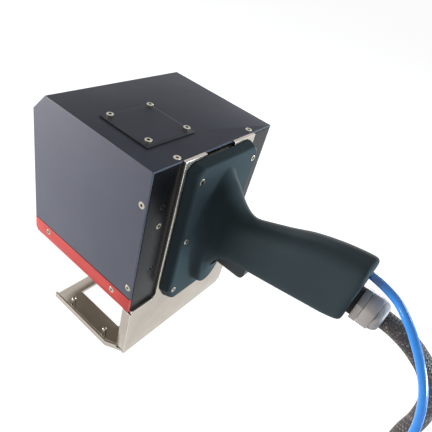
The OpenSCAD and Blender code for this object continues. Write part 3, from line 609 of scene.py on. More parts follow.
# Glass-filled polyamide of cable glands: a dry grey with faint clouding
GLAND_GREY = Finish("gland_polyamide", "#b3aeab", "#a39e9b", 0.42, grain_mm=1.2,
                    depth_mm=0.015, ior=1.45)
# Seals and gasket: dull black with the grey bloom of moulded rubber
RUBBER = Finish("nitrile_rubber", "#19191b", "#232325", 0.8, grain_mm=0.5,
                depth_mm=0.02)
# Bright stainless screws: small mirrors with the faint lines of the header die
BRIGHT_STEEL = Finish("screw_stainless", "#c3beb0", "#a39d8e", 0.26, Grain.BRUSHED,
                      grain_mm=0.3, depth_mm=0.003, metallic=1.0)
# Broached sockets are painted dark, partly for the oil in them and partly as painted
# shade in their depth, which tells a hex head at a glance
SOCKET_OIL_AND_SHADE = Finish("screw_socket_oil_and_painted_shade", "#2b2924", "#1c1b18", 0.5, grain_mm=0.3,
                     depth_mm=0.01)
# Blackened screws: a dark satin that hides in the panel
BLACK_OXIDE = Finish("screw_black_oxide", "#141416", "#1d1d20", 0.36, grain_mm=0.4,
                     depth_mm=0.006)
# Milled aluminium inside: pale, with the even lines of the cutter
MACHINED = Finish("aluminium_machined", "#c4c6c8", "#aeb0b3", 0.34, Grain.BRUSHED,
                  grain_mm=0.4, depth_mm=0.005, metallic=1.0, run=(1.0, 0.0, 0.0))
# Ground nozzle plate: a finer, darker mirror than the milled block
GROUND_STEEL = Finish("steel_ground", "#b3b4b6", "#9d9ea1", 0.28, Grain.BRUSHED,
                      grain_mm=0.3, depth_mm=0.003, metallic=1.0, run=(1.0, 0.0, 0.0))
# Synthetic ruby of the nozzle inserts: polished deep red with a clear depth
RUBY = Finish("ruby_polished", "#8d1733", "#a31f3f", 0.08, grain_mm=0.8, depth_mm=0.001,
              ior=1.76, coat=0.3)
# Coils, chips and switch body: black mouldings with a fine grain
MOULDED_BLACK = Finish("moulded_black", "#1e2023", "#26282c", 0.5, grain_mm=0.5,
                       depth_mm=0.015)
# Milled acetal of the ink rails: ivory, waxy, half dull
ACETAL = Finish("acetal_natural", "#d9d6c6", "#cbc7b5", 0.4, grain_mm=1.0,
                depth_mm=0.01)
# Cured lacquer over the board: a clear green gloss
SOLDER_MASK = Finish("solder_mask_green", "#17623a", "#125230", 0.22, grain_mm=1.5,
                     depth_mm=0.01, coat=0.3)
# Turned fittings and posts: warm yellow with rings of the tool
BRASS = Finish("brass_turned", "#cba760", "#b48f49", 0.26, Grain.BRUSHED, grain_mm=0.3,
               depth_mm=0.004, metallic=1.0)
# Polyurethane tube: saturated blue, wet gloss, faint streaks of extrusion
BLUE_TUBE = Finish("polyurethane_blue", "#0490fa", "#0e9afd", 0.18, grain_mm=2.0,
                   depth_mm=0.004, spread=0.03, coat=0.4)
# Extruded cable jacket: black, half dull
PVC_JACKET = Finish("pvc_jacket", "#1b1b1d", "#242426", 0.5, grain_mm=0.6,
                    depth_mm=0.01)
# Small moulded button in signal red
SWITCH_RED = Finish("switch_plunger_red", "#b9372d", "#a52f26", 0.4, grain_mm=0.4,
                    depth_mm=0.005)
# Braided sleeve of polyester strands about 1.8 mm wide, dark brown with some pale
# strands between the dark ones; each pale strand is painted darker towards its edges as
# painted shade
BRAID = Finish("braided_sleeve", "#2a2220", "#a0968e", 0.6, Grain.BRAID, depth_mm=0.3,
               sheen=0.2)
# Hook-and-loop tape: black, dull, with loops that catch a soft light at the rim
HOOK_TAPE = Finish("hook_and_loop_tape", "#17171a", "#2c2c30", 0.9, grain_mm=0.5,
                   depth_mm=0.15, sheen=0.4)
# Plated connector shell: a soft grey mirror
SATIN_NICKEL = Finish("satin_nickel", "#b6b5b3", "#a3a29f", 0.3, Grain.BRUSHED,
                      grain_mm=0.3, depth_mm=0.003, metallic=1.0, run=(1.0, 0.0, 0.0))

# The finish of each material slot in the record
SLOT_FINISH: dict[str, Finish] = {
    "cover": POWDER_COAT,
    "black_panel": BLACK_ANODISED,
    "red_base": RED_ANODISED,
    "aluminium": MACHINED,
    "gasket": RUBBER,
    "bright_screws": BRIGHT_STEEL,
    "black_screws": BLACK_OXIDE,
    "nozzle_steel": GROUND_STEEL,
    "jewel": RUBY,
    "coil_black": MOULDED_BLACK,
    "rail_plastic": ACETAL,
    "board_green": SOLDER_MASK,
    "brass": BRASS,
    "blue_tube": BLUE_TUBE,
    "cable_jacket": PVC_JACKET,
    "stainless": STAINLESS,
    "grip_plastic": SOFT_TOUCH,
    "switch_red": SWITCH_RED,
    "gland_grey": GLAND_GREY,
    "braid": BRAID,
    "tie_black": HOOK_TAPE,
    "connector_metal": SATIN_NICKEL,
}


@dataclass
class Paint:
    """Builds each finish once and hands it out.

    Attributes:
        made: the materials that are built so far, by name.
    """

    made: dict[str, bpy.types.Material] = field(default_factory=dict)

    def of(self, finish: Finish) -> bpy.types.Material:
        """Gives the material of a finish.

        Args:
            finish: the finish.

        Returns:
            Its material, built at the first call.
        """
        if finish.name not in self.made:
            self.made[finish.name] = finish.build()
        return self.made[finish.name]

    def dress(self, piece: bpy.types.Object, *finishes: Finish) -> None:
        """Puts finishes on a piece's slots, in order.

        Args:
            piece: the piece.
            *finishes: the finish of each slot.
        """
        slots = piece.data.materials
        for number, finish in enumerate(finishes):
            if number < len(slots):
                slots[number] = self.of(finish)
            else:
                slots.append(self.of(finish))

    def dress_frame(self) -> None:
        """Gives every CAD node the finish of its slot in the record."""
        for part in frame["record"]["subparts"]:
            node = frame["nodes"][part["node"]]
            material = self.of(SLOT_FINISH[part["material_slot"]])
            for slot in node.material_slots:
                slot.material = material


def settle(piece: bpy.types.Object, node: str) -> bpy.types.Object:
    """Puts a piece on a CAD node's body, in its place and slot.

    Args:
        piece: the finished piece.
        node: the node that it stands for.

    Returns:
        The same piece.
    """
    body = next(b for b, names in frame["record"]["behaviour"]["bodies"].items()
                if node in names)
    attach(piece, body)
    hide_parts(node)
    log.info("%s stands for %s on %s", piece.name, node, body)
    return piece


# ---- Geometry Nodes ---------------------------------------------------------


def node_group(name: str, inputs: dict[str, str]) -> bpy.types.NodeTree:
    """Starts a geometry tree with named inputs and one mesh output.

    Args:
        name: the tree's name.
        inputs: socket type by input name.

    Returns:
        The empty tree.
    """
    tree = bpy.data.node_groups.new(name, "GeometryNodeTree")
    for label, kind in {"Geometry": "NodeSocketGeometry", **inputs}.items():
        tree.interface.new_socket(label, in_out="INPUT", socket_type=kind)
    tree.interface.new_socket(
        "Geometry", in_out="OUTPUT", socket_type="NodeSocketGeometry"
    )
    return tree


def run_group(
    name: str, source: bpy.types.Mesh, tree: bpy.types.NodeTree,
    values: dict[str, object],
) -> bpy.types.Object:
    """Runs a geometry tree on a mesh and keeps the plain result.

    Args:
        name: the new piece's name.
        source: the mesh that the tree starts from.
        tree: the geometry tree.
        values: input values by input name.

    Returns:
        A piece with a plain mesh.
    """
    piece = new_piece(name, source)
    modifier = piece.modifiers.new("grow", "NODES")
    modifier.node_group = tree
    for item in tree.interface.items_tree:
        if item.in_out == "INPUT" and item.name in values:
            modifier[item.identifier] = values[item.name]
    return baked(piece)


def screw_tree() -> bpy.types.NodeTree:
    """Sets one screw on each place, turned by chance about its own axis.

    Returns:
        The tree, which starts from points with the way that each screw faces.
    """
    tree = node_group(
        "screws_on_places",
        {
            "Screw": "NodeSocketObject",
            "Seed": "NodeSocketInt",
            "Metal": "NodeSocketMaterial",
            "Socket": "NodeSocketMaterial",
        },
    )
    given = add_node(tree, "NodeGroupInput").outputs
    screw = add_node(tree, "GeometryNodeObjectInfo", {"Object": given["Screw"]})
    facing = add_node(
        tree, "GeometryNodeInputNamedAttribute", {"Name": "facing"},
        data_type="FLOAT_VECTOR",
    )
    turn = add_node(
        tree, "FunctionNodeAlignRotationToVector", {"Vector": facing.outputs[0]},
        axis="Z",
    )
    # input 3 is the most that it turns: after a sixth a hexagon looks the same
    chance = add_node(
        tree, "FunctionNodeRandomValue",
        {"Seed": given["Seed"], 3: 2 * math.pi / HEX_SIDES}, data_type="FLOAT",
    )
    spin = add_node(tree, "ShaderNodeCombineXYZ", {2: chance.outputs[1]})
    set_out = add_node(tree, "GeometryNodeInstanceOnPoints", {
        "Points": given["Geometry"],
        "Instance": screw.outputs["Geometry"],
        "Rotation": turn.outputs[0],
    })
    spun = add_node(tree, "GeometryNodeRotateInstances", {
        "Instances": set_out.outputs[0], "Rotation": spin.outputs[0],
    })
    real = add_node(tree, "GeometryNodeRealizeInstances", {0: spun.outputs[0]})
    metal = add_node(tree, "GeometryNodeSetMaterial", {
        "Geometry": real.outputs[0], "Material": given["Metal"],
    })
    inside = add_node(
        tree, "GeometryNodeInputNamedAttribute", {"Name": "socket"}, data_type="BOOLEAN"
    )
    dressed = add_node(tree, "GeometryNodeSetMaterial", {
        "Geometry": metal.outputs[0],
        "Selection": inside.outputs[0],
        "Material": given["Socket"],
    })
    add_node(tree, "NodeGroupOutput", {0: dressed.outputs[0]})
    return tree


def rib_tree() -> bpy.types.NodeTree:
    """Sets round ribs on a ring about an axis, as on a knurled collar.

    Returns:
        The tree, which starts from the collar's mesh.
    """
    tree = node_group(
        "ribs_round_a_ring",
        {
            "Count": "NodeSocketInt",
            "Sides": "NodeSocketInt",
            "Ring radius": "NodeSocketFloat",
            "Rib radius": "NodeSocketFloat",
            "Rib length": "NodeSocketFloat",
            "Middle": "NodeSocketVector",
            "Axis turn": "NodeSocketRotation",
            "Material": "NodeSocketMaterial",
        },
    )
    given = add_node(tree, "NodeGroupInput").outputs
    ring = add_node(tree, "GeometryNodeMeshCircle", {
        "Vertices": given["Count"], "Radius": given["Ring radius"],
    })
    rib = add_node(tree, "GeometryNodeMeshCylinder", {
        "Vertices": given["Sides"], "Radius": given["Rib radius"],
        "Depth": given["Rib length"],
    })
    ribs = add_node(tree, "GeometryNodeInstanceOnPoints", {
        "Points": ring.outputs[0], "Instance": rib.outputs[0],
    })
    placed = add_node(tree, "GeometryNodeTransform", {
        "Geometry": ribs.outputs[0],
        "Translation": given["Middle"],
        "Rotation": given["Axis turn"],
    })
    real = add_node(tree, "GeometryNodeRealizeInstances", {0: placed.outputs[0]})
    dressed = add_node(tree, "GeometryNodeSetMaterial", {
        "Geometry": real.outputs[0], "Material": given["Material"],
    })
    joined = add_node(tree, "GeometryNodeJoinGeometry")
    tree.links.new(dressed.outputs[0], joined.inputs[0])
    tree.links.new(given["Geometry"], joined.inputs[0])
    add_node(tree, "NodeGroupOutput", {0: joined.outputs[0]})
    return tree


# ---- pieces that keep a CAD node's shape ------------------------------------


def merged_copy(node: str, reshape: Reshape | None = None) -> bpy.types.Mesh:
    """Copies a node's mesh with its loose triangles joined and its flats whole.

    Args:
        node: the CAD node.
        reshape: gives each point's new place, or None to keep them.

    Returns:
        The new mesh.
    """
    work = bmesh.new()
    work.from_mesh(frame["nodes"][node].data)
    bmesh.ops.remove_doubles(work, verts=work.verts, dist=WELD)
    bmesh.ops.dissolve_limit(
        work, angle_limit=math.radians(FLAT_DEG), verts=work.verts, edges=work.edges
    )
    for vert in work.verts if reshape else ():
        vert.co = reshape(vert.co.copy())
    mesh = bpy.data.meshes.new(node + "_copy")
    work.to_mesh(mesh)
    work.free()
    return mesh


def weigh_edges(mesh: bpy.types.Mesh, least_mm: float, angle_deg: float) -> None:
    """Marks the long sharp edges of a mesh for rounding.

    Args:
        mesh: the mesh.
        least_mm: the shortest edge that is rounded.
        angle_deg: the least turn of an edge that is rounded.
    """
    work = bmesh.new()
    work.from_mesh(mesh)
    weight = work.edges.layers.float.new("bevel_weight_edge")
    for edge in work.edges:
        sharp = edge.calc_face_angle(0.0) > math.radians(angle_deg)
        if sharp and edge.calc_length() > least_mm * MM:
            edge[weight] = 1.0
    work.to_mesh(mesh)
    work.free()


def softened(
    node: str,
    name: str,
    radius_mm: float,
    steps: int = 2,
    angle_deg: float = 32.0,
    least_mm: float = 0.0,
    reshape: Reshape | None = None,
) -> bpy.types.Object:
    """Copies a node and rounds the edges that a hand or a tool would round.

    Args:
        node: the CAD node.
        name: the new piece's name.
        radius_mm: how wide each edge is rounded.
        steps: faces across each rounded edge.
        angle_deg: the least turn of an edge that is rounded.
        least_mm: the shortest edge that is rounded, or 0 for all of them.
        reshape: gives each point's new place, or None to keep them.

    Returns:
        The piece, its rounded edges in its second slot.
    """
    piece = new_piece(name, merged_copy(node, reshape))
    piece.data.materials.clear()
    for _ in range(EDGE_SLOT + 1):
        piece.data.materials.append(None)
    rounding = piece.modifiers.new("soft edges", "BEVEL")
    rounding.width = radius_mm * MM
    rounding.segments = steps
    if least_mm:
        weigh_edges(piece.data, least_mm, angle_deg)
    rounding.limit_method = "WEIGHT" if least_mm else "ANGLE"
    rounding.angle_limit = math.radians(angle_deg)
    rounding.use_clamp_overlap = not least_mm
    rounding.material = EDGE_SLOT
    baked(piece)
    shade(piece.data, SOFT_EDGE_DEG)
    return piece


def mark_faces(piece: bpy.types.Object, slot: int, belongs: FaceTest) -> None:
    """Puts the faces that pass a test into a material slot.

    Args:
        piece: the piece.
        slot: number of the slot.
        belongs: tells by a face's normal and middle whether it goes there.
    """
    for face in piece.data.polygons:
        if belongs(face.normal, face.center):
            face.material_index = slot


def stand_in(
    paint: Paint, node: str, name: str, finishes: Sequence[Finish], radius_mm: float,
    tests: dict[Finish, FaceTest] | None = None, **rounding: object,
) -> bpy.types.Object:
    """Rounds and dresses a copy of a node, and settles it in the node's place.

    Args:
        paint: the finishes.
        node: the CAD node.
        name: the new piece's name.
        finishes: the finish of each slot, faces first and rounded edges second.
        radius_mm: how wide each edge is rounded.
        tests: which faces take one of the finishes besides.
        **rounding: which edges softened() rounds, and how.

    Returns:
        The settled piece.
    """
    piece = softened(node, name, radius_mm, **rounding)
    for finish, belongs in (tests or {}).items():
        mark_faces(piece, finishes.index(finish), belongs)
    paint.dress(piece, *finishes)
    return settle(piece, node)


# ---- screws -----------------------------------------------------------------


@dataclass(frozen=True)
class Screw:
    """Sizes of a metric screw with a hex socket, in millimetres.

    Attributes:
        head_r: radius of the head.
        head_h: height of the head.
        shank_r: radius of the shank.
        socket_r: across the socket's corners, halved.
        socket_h: depth of the socket.
        sunk: whether the head is a cone that lies flush.
        points_round: points round it, a multiple of six.
        edge: how far its rim is broken.
        tip: how far the shank's end is broken, as a share of its radius.
    """

    head_r: float
    head_h: float
    shank_r: float
    socket_r: float
    socket_h: float
    sunk: bool = False
    points_round: int = 24
    edge: float = 0.2
    tip: float = 0.2

    def template(self, length: float) -> bpy.types.Object:
        """Builds the screw with the middle of its head's top at the origin.

        Args:
            length: from the head's top to the tip, in millimetres.

        Returns:
            The screw, its socket's faces marked by an attribute.
        """
        under = [] if self.sunk else [(self.head_r, -self.head_h)]
        profile = [
            (self.shank_r * (1 - self.tip), -length),
            (self.shank_r, -length + self.shank_r * self.tip),
            (self.shank_r, -self.head_h), *under, (self.head_r, -self.edge),
            (self.head_r - self.edge, 0.0),
        ]
        rows = [circle(r * MM, self.points_round, z * MM) for r, z in profile]
        depths = (0.0, -self.socket_h)
        rows += [self.hexagon(self.socket_r * MM, z * MM) for z in depths]
        work = loft(rows)
        inside = work.faces.layers.bool.new("socket")
        top = -self.edge * MM / 2
        reach = (self.socket_r + SOCKET_MARGIN_MM) * MM
        for face in work.faces:
            middle = face.calc_center_median()
            face[inside] = (
                top > middle.z > -self.head_h * MM and middle.xy.length < reach
            )
        return to_piece("screw_template", work, SCREW_EDGE_DEG)

    def hexagon(self, radius: float, z: float) -> Ring:
        """Gives points spread along a hexagon's sides.

        Args:
            radius: from its middle to a corner.
            z: its height.

        Returns:
            As many points as the screw has round it.
        """
        corners = circle(radius, HEX_SIDES, z)
        side = self.points_round // HEX_SIDES
        return [corners[i].lerp(corners[(i + 1) % HEX_SIDES], k / side)
                for i in range(HEX_SIDES) for k in range(side)]


def solids_of(node: str) -> list[tuple[Vector, Vector]]:
    """Finds each separate solid of a node.

    Args:
        node: a CAD node of several equal solids.

    Returns:
        The lowest and highest corner of each.
    """
    work = bmesh.new()
    work.from_mesh(frame["nodes"][node].data)
    bmesh.ops.remove_doubles(work, verts=work.verts, dist=WELD)
    # a dict keeps the mesh's order, so that each run finds them in the same order
    left = dict.fromkeys(work.verts)
    found = []
    while left:
        stack, points = [left.popitem()[0]], []
        while stack:
            vert = stack.pop()
            points.append(vert.co.copy())
            for edge in vert.link_edges:
                other = edge.other_vert(vert)
                if other in left:
                    del left[other]
                    stack.append(other)
        low = Vector([min(p[i] for p in points) for i in range(3)])
        high = Vector([max(p[i] for p in points) for i in range(3)])
        found.append((low, high))
    work.free()
    return found


@dataclass(frozen=True)
class ScrewRow:
    """One kind of screw on the places of one CAD node.

    Attributes:
        node: the CAD node that gives the places and lengths.
        screw: the screw's sizes.
        seed: what the chance of its turns starts from.
        finish: its finish.
        lift_mm: how far the heads stand out from the source's.
    """

    node: str
    screw: Screw
    seed: int
    finish: Finish = BRIGHT_STEEL
    lift_mm: float = 0.0


CAP_SCREW = Screw(head_r=2.75, head_h=3.0, shank_r=1.5, socket_r=1.44, socket_h=1.5)
FLUSH_SCREW = Screw(head_r=3.0, head_h=1.7, shank_r=1.5, socket_r=1.2, socket_h=1.1,
                    sunk=True)


@dataclass
class ScrewRows:
    """All screws that can be seen, set by one geometry tree on the CAD's places.

    Attributes:
        paint: the finishes.
        rows: the rows of screws.
    """

    paint: Paint
    rows: tuple[ScrewRow, ...] = (
        ScrewRow("access_screws", CAP_SCREW, 3, lift_mm=-ACCESS_SINK_MM),
        ScrewRow("cover_screws", FLUSH_SCREW, 5),
        ScrewRow("base_screws", FLUSH_SCREW, 8),
        ScrewRow("panel_screws", CAP_SCREW, 2),
        ScrewRow("panel_black_screws", CAP_SCREW, 4, BLACK_OXIDE),
        ScrewRow("grip_screws", CAP_SCREW, 6, lift_mm=GRIP_HEAD_LIFT_MM),
    )

    def build(self) -> None:
        """Builds and settles each row."""
        tree = screw_tree()
        for row in self.rows:
            settle(self.set_out(tree, row), row.node)

    def set_out(self, tree: bpy.types.NodeTree, row: ScrewRow) -> bpy.types.Object:
        """Sets one kind of screw on a node's solids.

        Args:
            tree: the geometry tree.
            row: the row.

        Returns:
            The row as one piece.
        """
        places, facings, length = [], [], 0.0
        for low, high in solids_of(row.node):
            top = (low + high) / 2
            size = high - low
            axis = max(range(3), key=lambda i: size[i])
            way = Vector((0, 0, 0))
            way[axis] = math.copysign(1.0, top[1]) if axis == 1 else 1.0
            top[axis] = high[axis] if way[axis] > 0 else low[axis]
            places.append(top + way * row.lift_mm * MM)
            facings.append(way)
            length = size[axis] / MM
        mesh = bpy.data.meshes.new(row.node + "_places")
        mesh.from_pydata(places, [], [])
        attribute = mesh.attributes.new("facing", "FLOAT_VECTOR", "POINT")
        for slot, way in zip(attribute.data, facings):
            slot.vector = way
        template = row.screw.template(length)
        piece = run_group(row.node + "_row", mesh, tree, {
            "Screw": template, "Seed": row.seed, "Metal": self.paint.of(row.finish),
            # the sockets take a dark colour, partly oil and partly painted shade
            "Socket": self.paint.of(SOCKET_OIL_AND_SHADE),
        })
        drop(template)
        return piece


# ---- housing and bracket ----------------------------------------------------


@dataclass
class Housing:
    """Sheet cover, rear panel, base and access plate, with rounded edges.

    Attributes:
        paint: the finishes.
        cover_edge_mm: the fold radius that shows on the cover.
        base_edge_mm: the broken edge of the machined base.
        plate_edge_mm: the broken edge of the small plates.
        long_edge_mm: the shortest edge that is broken.
        rim_mm: height of the cover's lower rim in the source.
        seam_mm: how far the seam under the rim stands open.
        plate_top_mm: height of the access plate's face in the source.
        level: how far the normal of a level face points up or down at least.
        slanted: how far the normal of a cut edge points up or down at most.
    """

    paint: Paint
    cover_edge_mm: float = 0.7
    base_edge_mm: float = 0.4
    plate_edge_mm: float = 0.25
    long_edge_mm: float = 4.0
    rim_mm: float = 78.0
    seam_mm: float = 0.5
    plate_top_mm: float = 207.0
    level: float = 0.9
    slanted: float = 0.6

    def open_seam(self, place: Vector) -> Vector:
        """Raises the cover's rim, so that its seam to the base shows dark.

        Args:
            place: a point of the cover.

        Returns:
            Its new place.
        """
        if place.z / MM < self.rim_mm + NEAR_MM:
            place.z += self.seam_mm * MM
        return place

    def thinned(self, place: Vector) -> Vector:
        """Lays the access plate's face as low as in the photograph.

        Args:
            place: a point of the plate.

        Returns:
            Its new place.
        """
        if place.z / MM > self.plate_top_mm - NEAR_MM:
            place.z -= ACCESS_SINK_MM * MM
        return place

    def build(self) -> None:
        """Builds and settles the housing's visible sheets and plates."""
        seam_top = mm(0, 0, self.rim_mm + self.seam_mm + self.cover_edge_mm).z
        seam_low = mm(0, 0, self.rim_mm - self.base_edge_mm).z
        underside = mm(0, 0, BASE_Z_MM + self.base_edge_mm).z
        stand_in(
            self.paint, "housing_cover", "cover_sheet",
            (POWDER_COAT, FOLD_COAT, SEAM_SHADE), self.cover_edge_mm,
            # the rim's downward faces by the seam take painted shade
            {SEAM_SHADE: lambda way, middle: way.z < 0 and middle.z < seam_top},
            least_mm=self.long_edge_mm, reshape=self.open_seam,
        )
        stand_in(
            self.paint, "rear_panel", "panel_plate",
            (BLACK_ANODISED, BLACK_ANODISED), self.plate_edge_mm,
            least_mm=self.long_edge_mm,
        )
        stand_in(
            self.paint, "nozzle_base", "base_tray",
            # the rounded edges are painted a paler red as a painted highlight
            (RED_ANODISED, RED_EDGE_HIGHLIGHT, UNDERSIDE_PAINTED_LIGHT, SEAM_SHADE), self.base_edge_mm,
            # the underside is painted pale as painted light
            {UNDERSIDE_PAINTED_LIGHT:
                lambda way, middle: way.z < -self.level and middle.z < underside,
             # the lip inside the cover and the base's rounded top edges take painted
             # shade
             SEAM_SHADE: lambda way, middle: middle.z > seam_low},
            least_mm=self.long_edge_mm,
        )
        stand_in(
            self.paint, "access_plate", "access_cover",
            (POWDER_COAT, PLATE_EDGE_SHADE), self.plate_edge_mm,
            # the plate's side faces take painted shade, as do its rounded edges
            {PLATE_EDGE_SHADE: lambda way, middle: abs(way.z) < self.slanted},
            least_mm=self.long_edge_mm, reshape=self.thinned,
        )


@dataclass
class GuideBracket:
    """Folded stainless bracket with its upright, notch and skirt.

    Attributes:
        paint: the finishes.
        edge_mm: how far the laser-cut edges are broken.
        long_edge_mm: the shortest edge that is broken.
        side_mm: half width of the upright in the source, and at its corners.
        side_low_mm: the height over which its sides come in.
        side_in_mm: how far they do.
        notch_mm: half width of the notch on top in the source.
        notch_out_mm: how far its near end goes out.
        skirt_mm: lowest and highest point of the skirt's top in the source.
        skirt_up_mm: how far that goes up.
    """

    paint: Paint
    edge_mm: float = 0.3
    long_edge_mm: float = 2.5
    side_mm: tuple[float, float] = (46.0, 48.0)
    side_low_mm: float = 58.0
    side_in_mm: float = 3.0
    notch_mm: float = 15.0
    notch_out_mm: float = 5.0
    skirt_mm: tuple[float, float] = (57.0, 61.0)
    skirt_up_mm: float = 4.0

    def trimmed(self, place: Vector) -> Vector:
        """Moves the upright's sides, its notch and the skirt's top as photographed.

        Args:
            place: a point of the bracket.

        Returns:
            Its new place.
        """
        y, z = place.y / MM, place.z / MM
        side, corner = self.side_mm
        low, high = self.skirt_mm
        if z > self.side_low_mm and side - NEAR_MM < abs(y) < corner + NEAR_MM:
            place.y -= math.copysign(self.side_in_mm * MM, y)
        if z > high and abs(y + self.notch_mm) < NEAR_MM:
            place.y -= self.notch_out_mm * MM
        if low - NEAR_MM < z < high + NEAR_MM:
            place.z += self.skirt_up_mm * MM
        return place

    def build(self) -> None:
        """Builds and settles the bracket."""
        stand_in(
            self.paint, "guide_bracket", "bracket_sheet",
            # the rounded edges take a paler colour as a painted highlight
            (STAINLESS, STAINLESS_EDGE_HIGHLIGHT), self.edge_mm,
            least_mm=self.long_edge_mm, reshape=self.trimmed,
        )


# ---- grip -------------------------------------------------------------------


@dataclass(frozen=True)
class Pocket:
    """A square opening, in millimetres from the rear face and the underside.

    Attributes:
        low: its lowest corner.
        high: its highest corner.
    """

    low: Point
    high: Point

    def shape(self) -> bmesh.types.BMesh:
        """Makes what the opening takes out."""
        return box(from_rear(*self.low), from_rear(*self.high))


@dataclass(frozen=True)
class Bore:
    """A round opening, in millimetres from the rear face and the underside.

    Attributes:
        start: the middle of one end.
        end: the middle of the other end.
        radius: its radius.
        sides: points round it.
    """

    start: Point
    end: Point
    radius: float
    sides: int = ROD_SIDES

    def shape(self) -> bmesh.types.BMesh:
        """Makes what the opening takes out."""
        start, end = from_rear(*self.start), from_rear(*self.end)
        return rod(start, end, self.radius * MM, self.sides)


# What the casting leaves open, in the order in which it is cut
GRIP_OPENINGS: dict[str, Pocket | Bore] = {
    "face on the bracket": Pocket((-20, -60, -60), (3.0, 60, 200)),
    "trigger pocket": Pocket((24.5, -7.3, 38), (43, 7.3, 67.3)),
    "trigger pocket, rear": Pocket((42, -7.3, 38), (60.5, 7.3, 69.5)),
    "switch niche": Pocket((28.1, -3.1, 66.3), (41.7, 3.1, 74)),
    "spring seat": Bore((52, 0, 68.5), (52, 0, 76), 3.8),
    "pin hole": Bore((29.5, -12.05, 58), (29.5, 26, 58), 1.55, HOLE_SIDES),
    "cable way": Bore((-2, 0, 81.7), (112, 0, 96), 9),
    "cable way, end": Bore((109, 0, 94.5), (130, 0, 94.5), 9),
    "gland thread": Bore((128.5, 0, 94.5), (150, 0, 94.5), 11.05),
    "tube hole": Bore((127, 0, 119.3), (150, 0, 119.3), 3.3, HOLE_SIDES),
    "tube way": Bore((129.5, 0, 119.3), (60, 0, 94), 3.7, HOLE_SIDES),
}


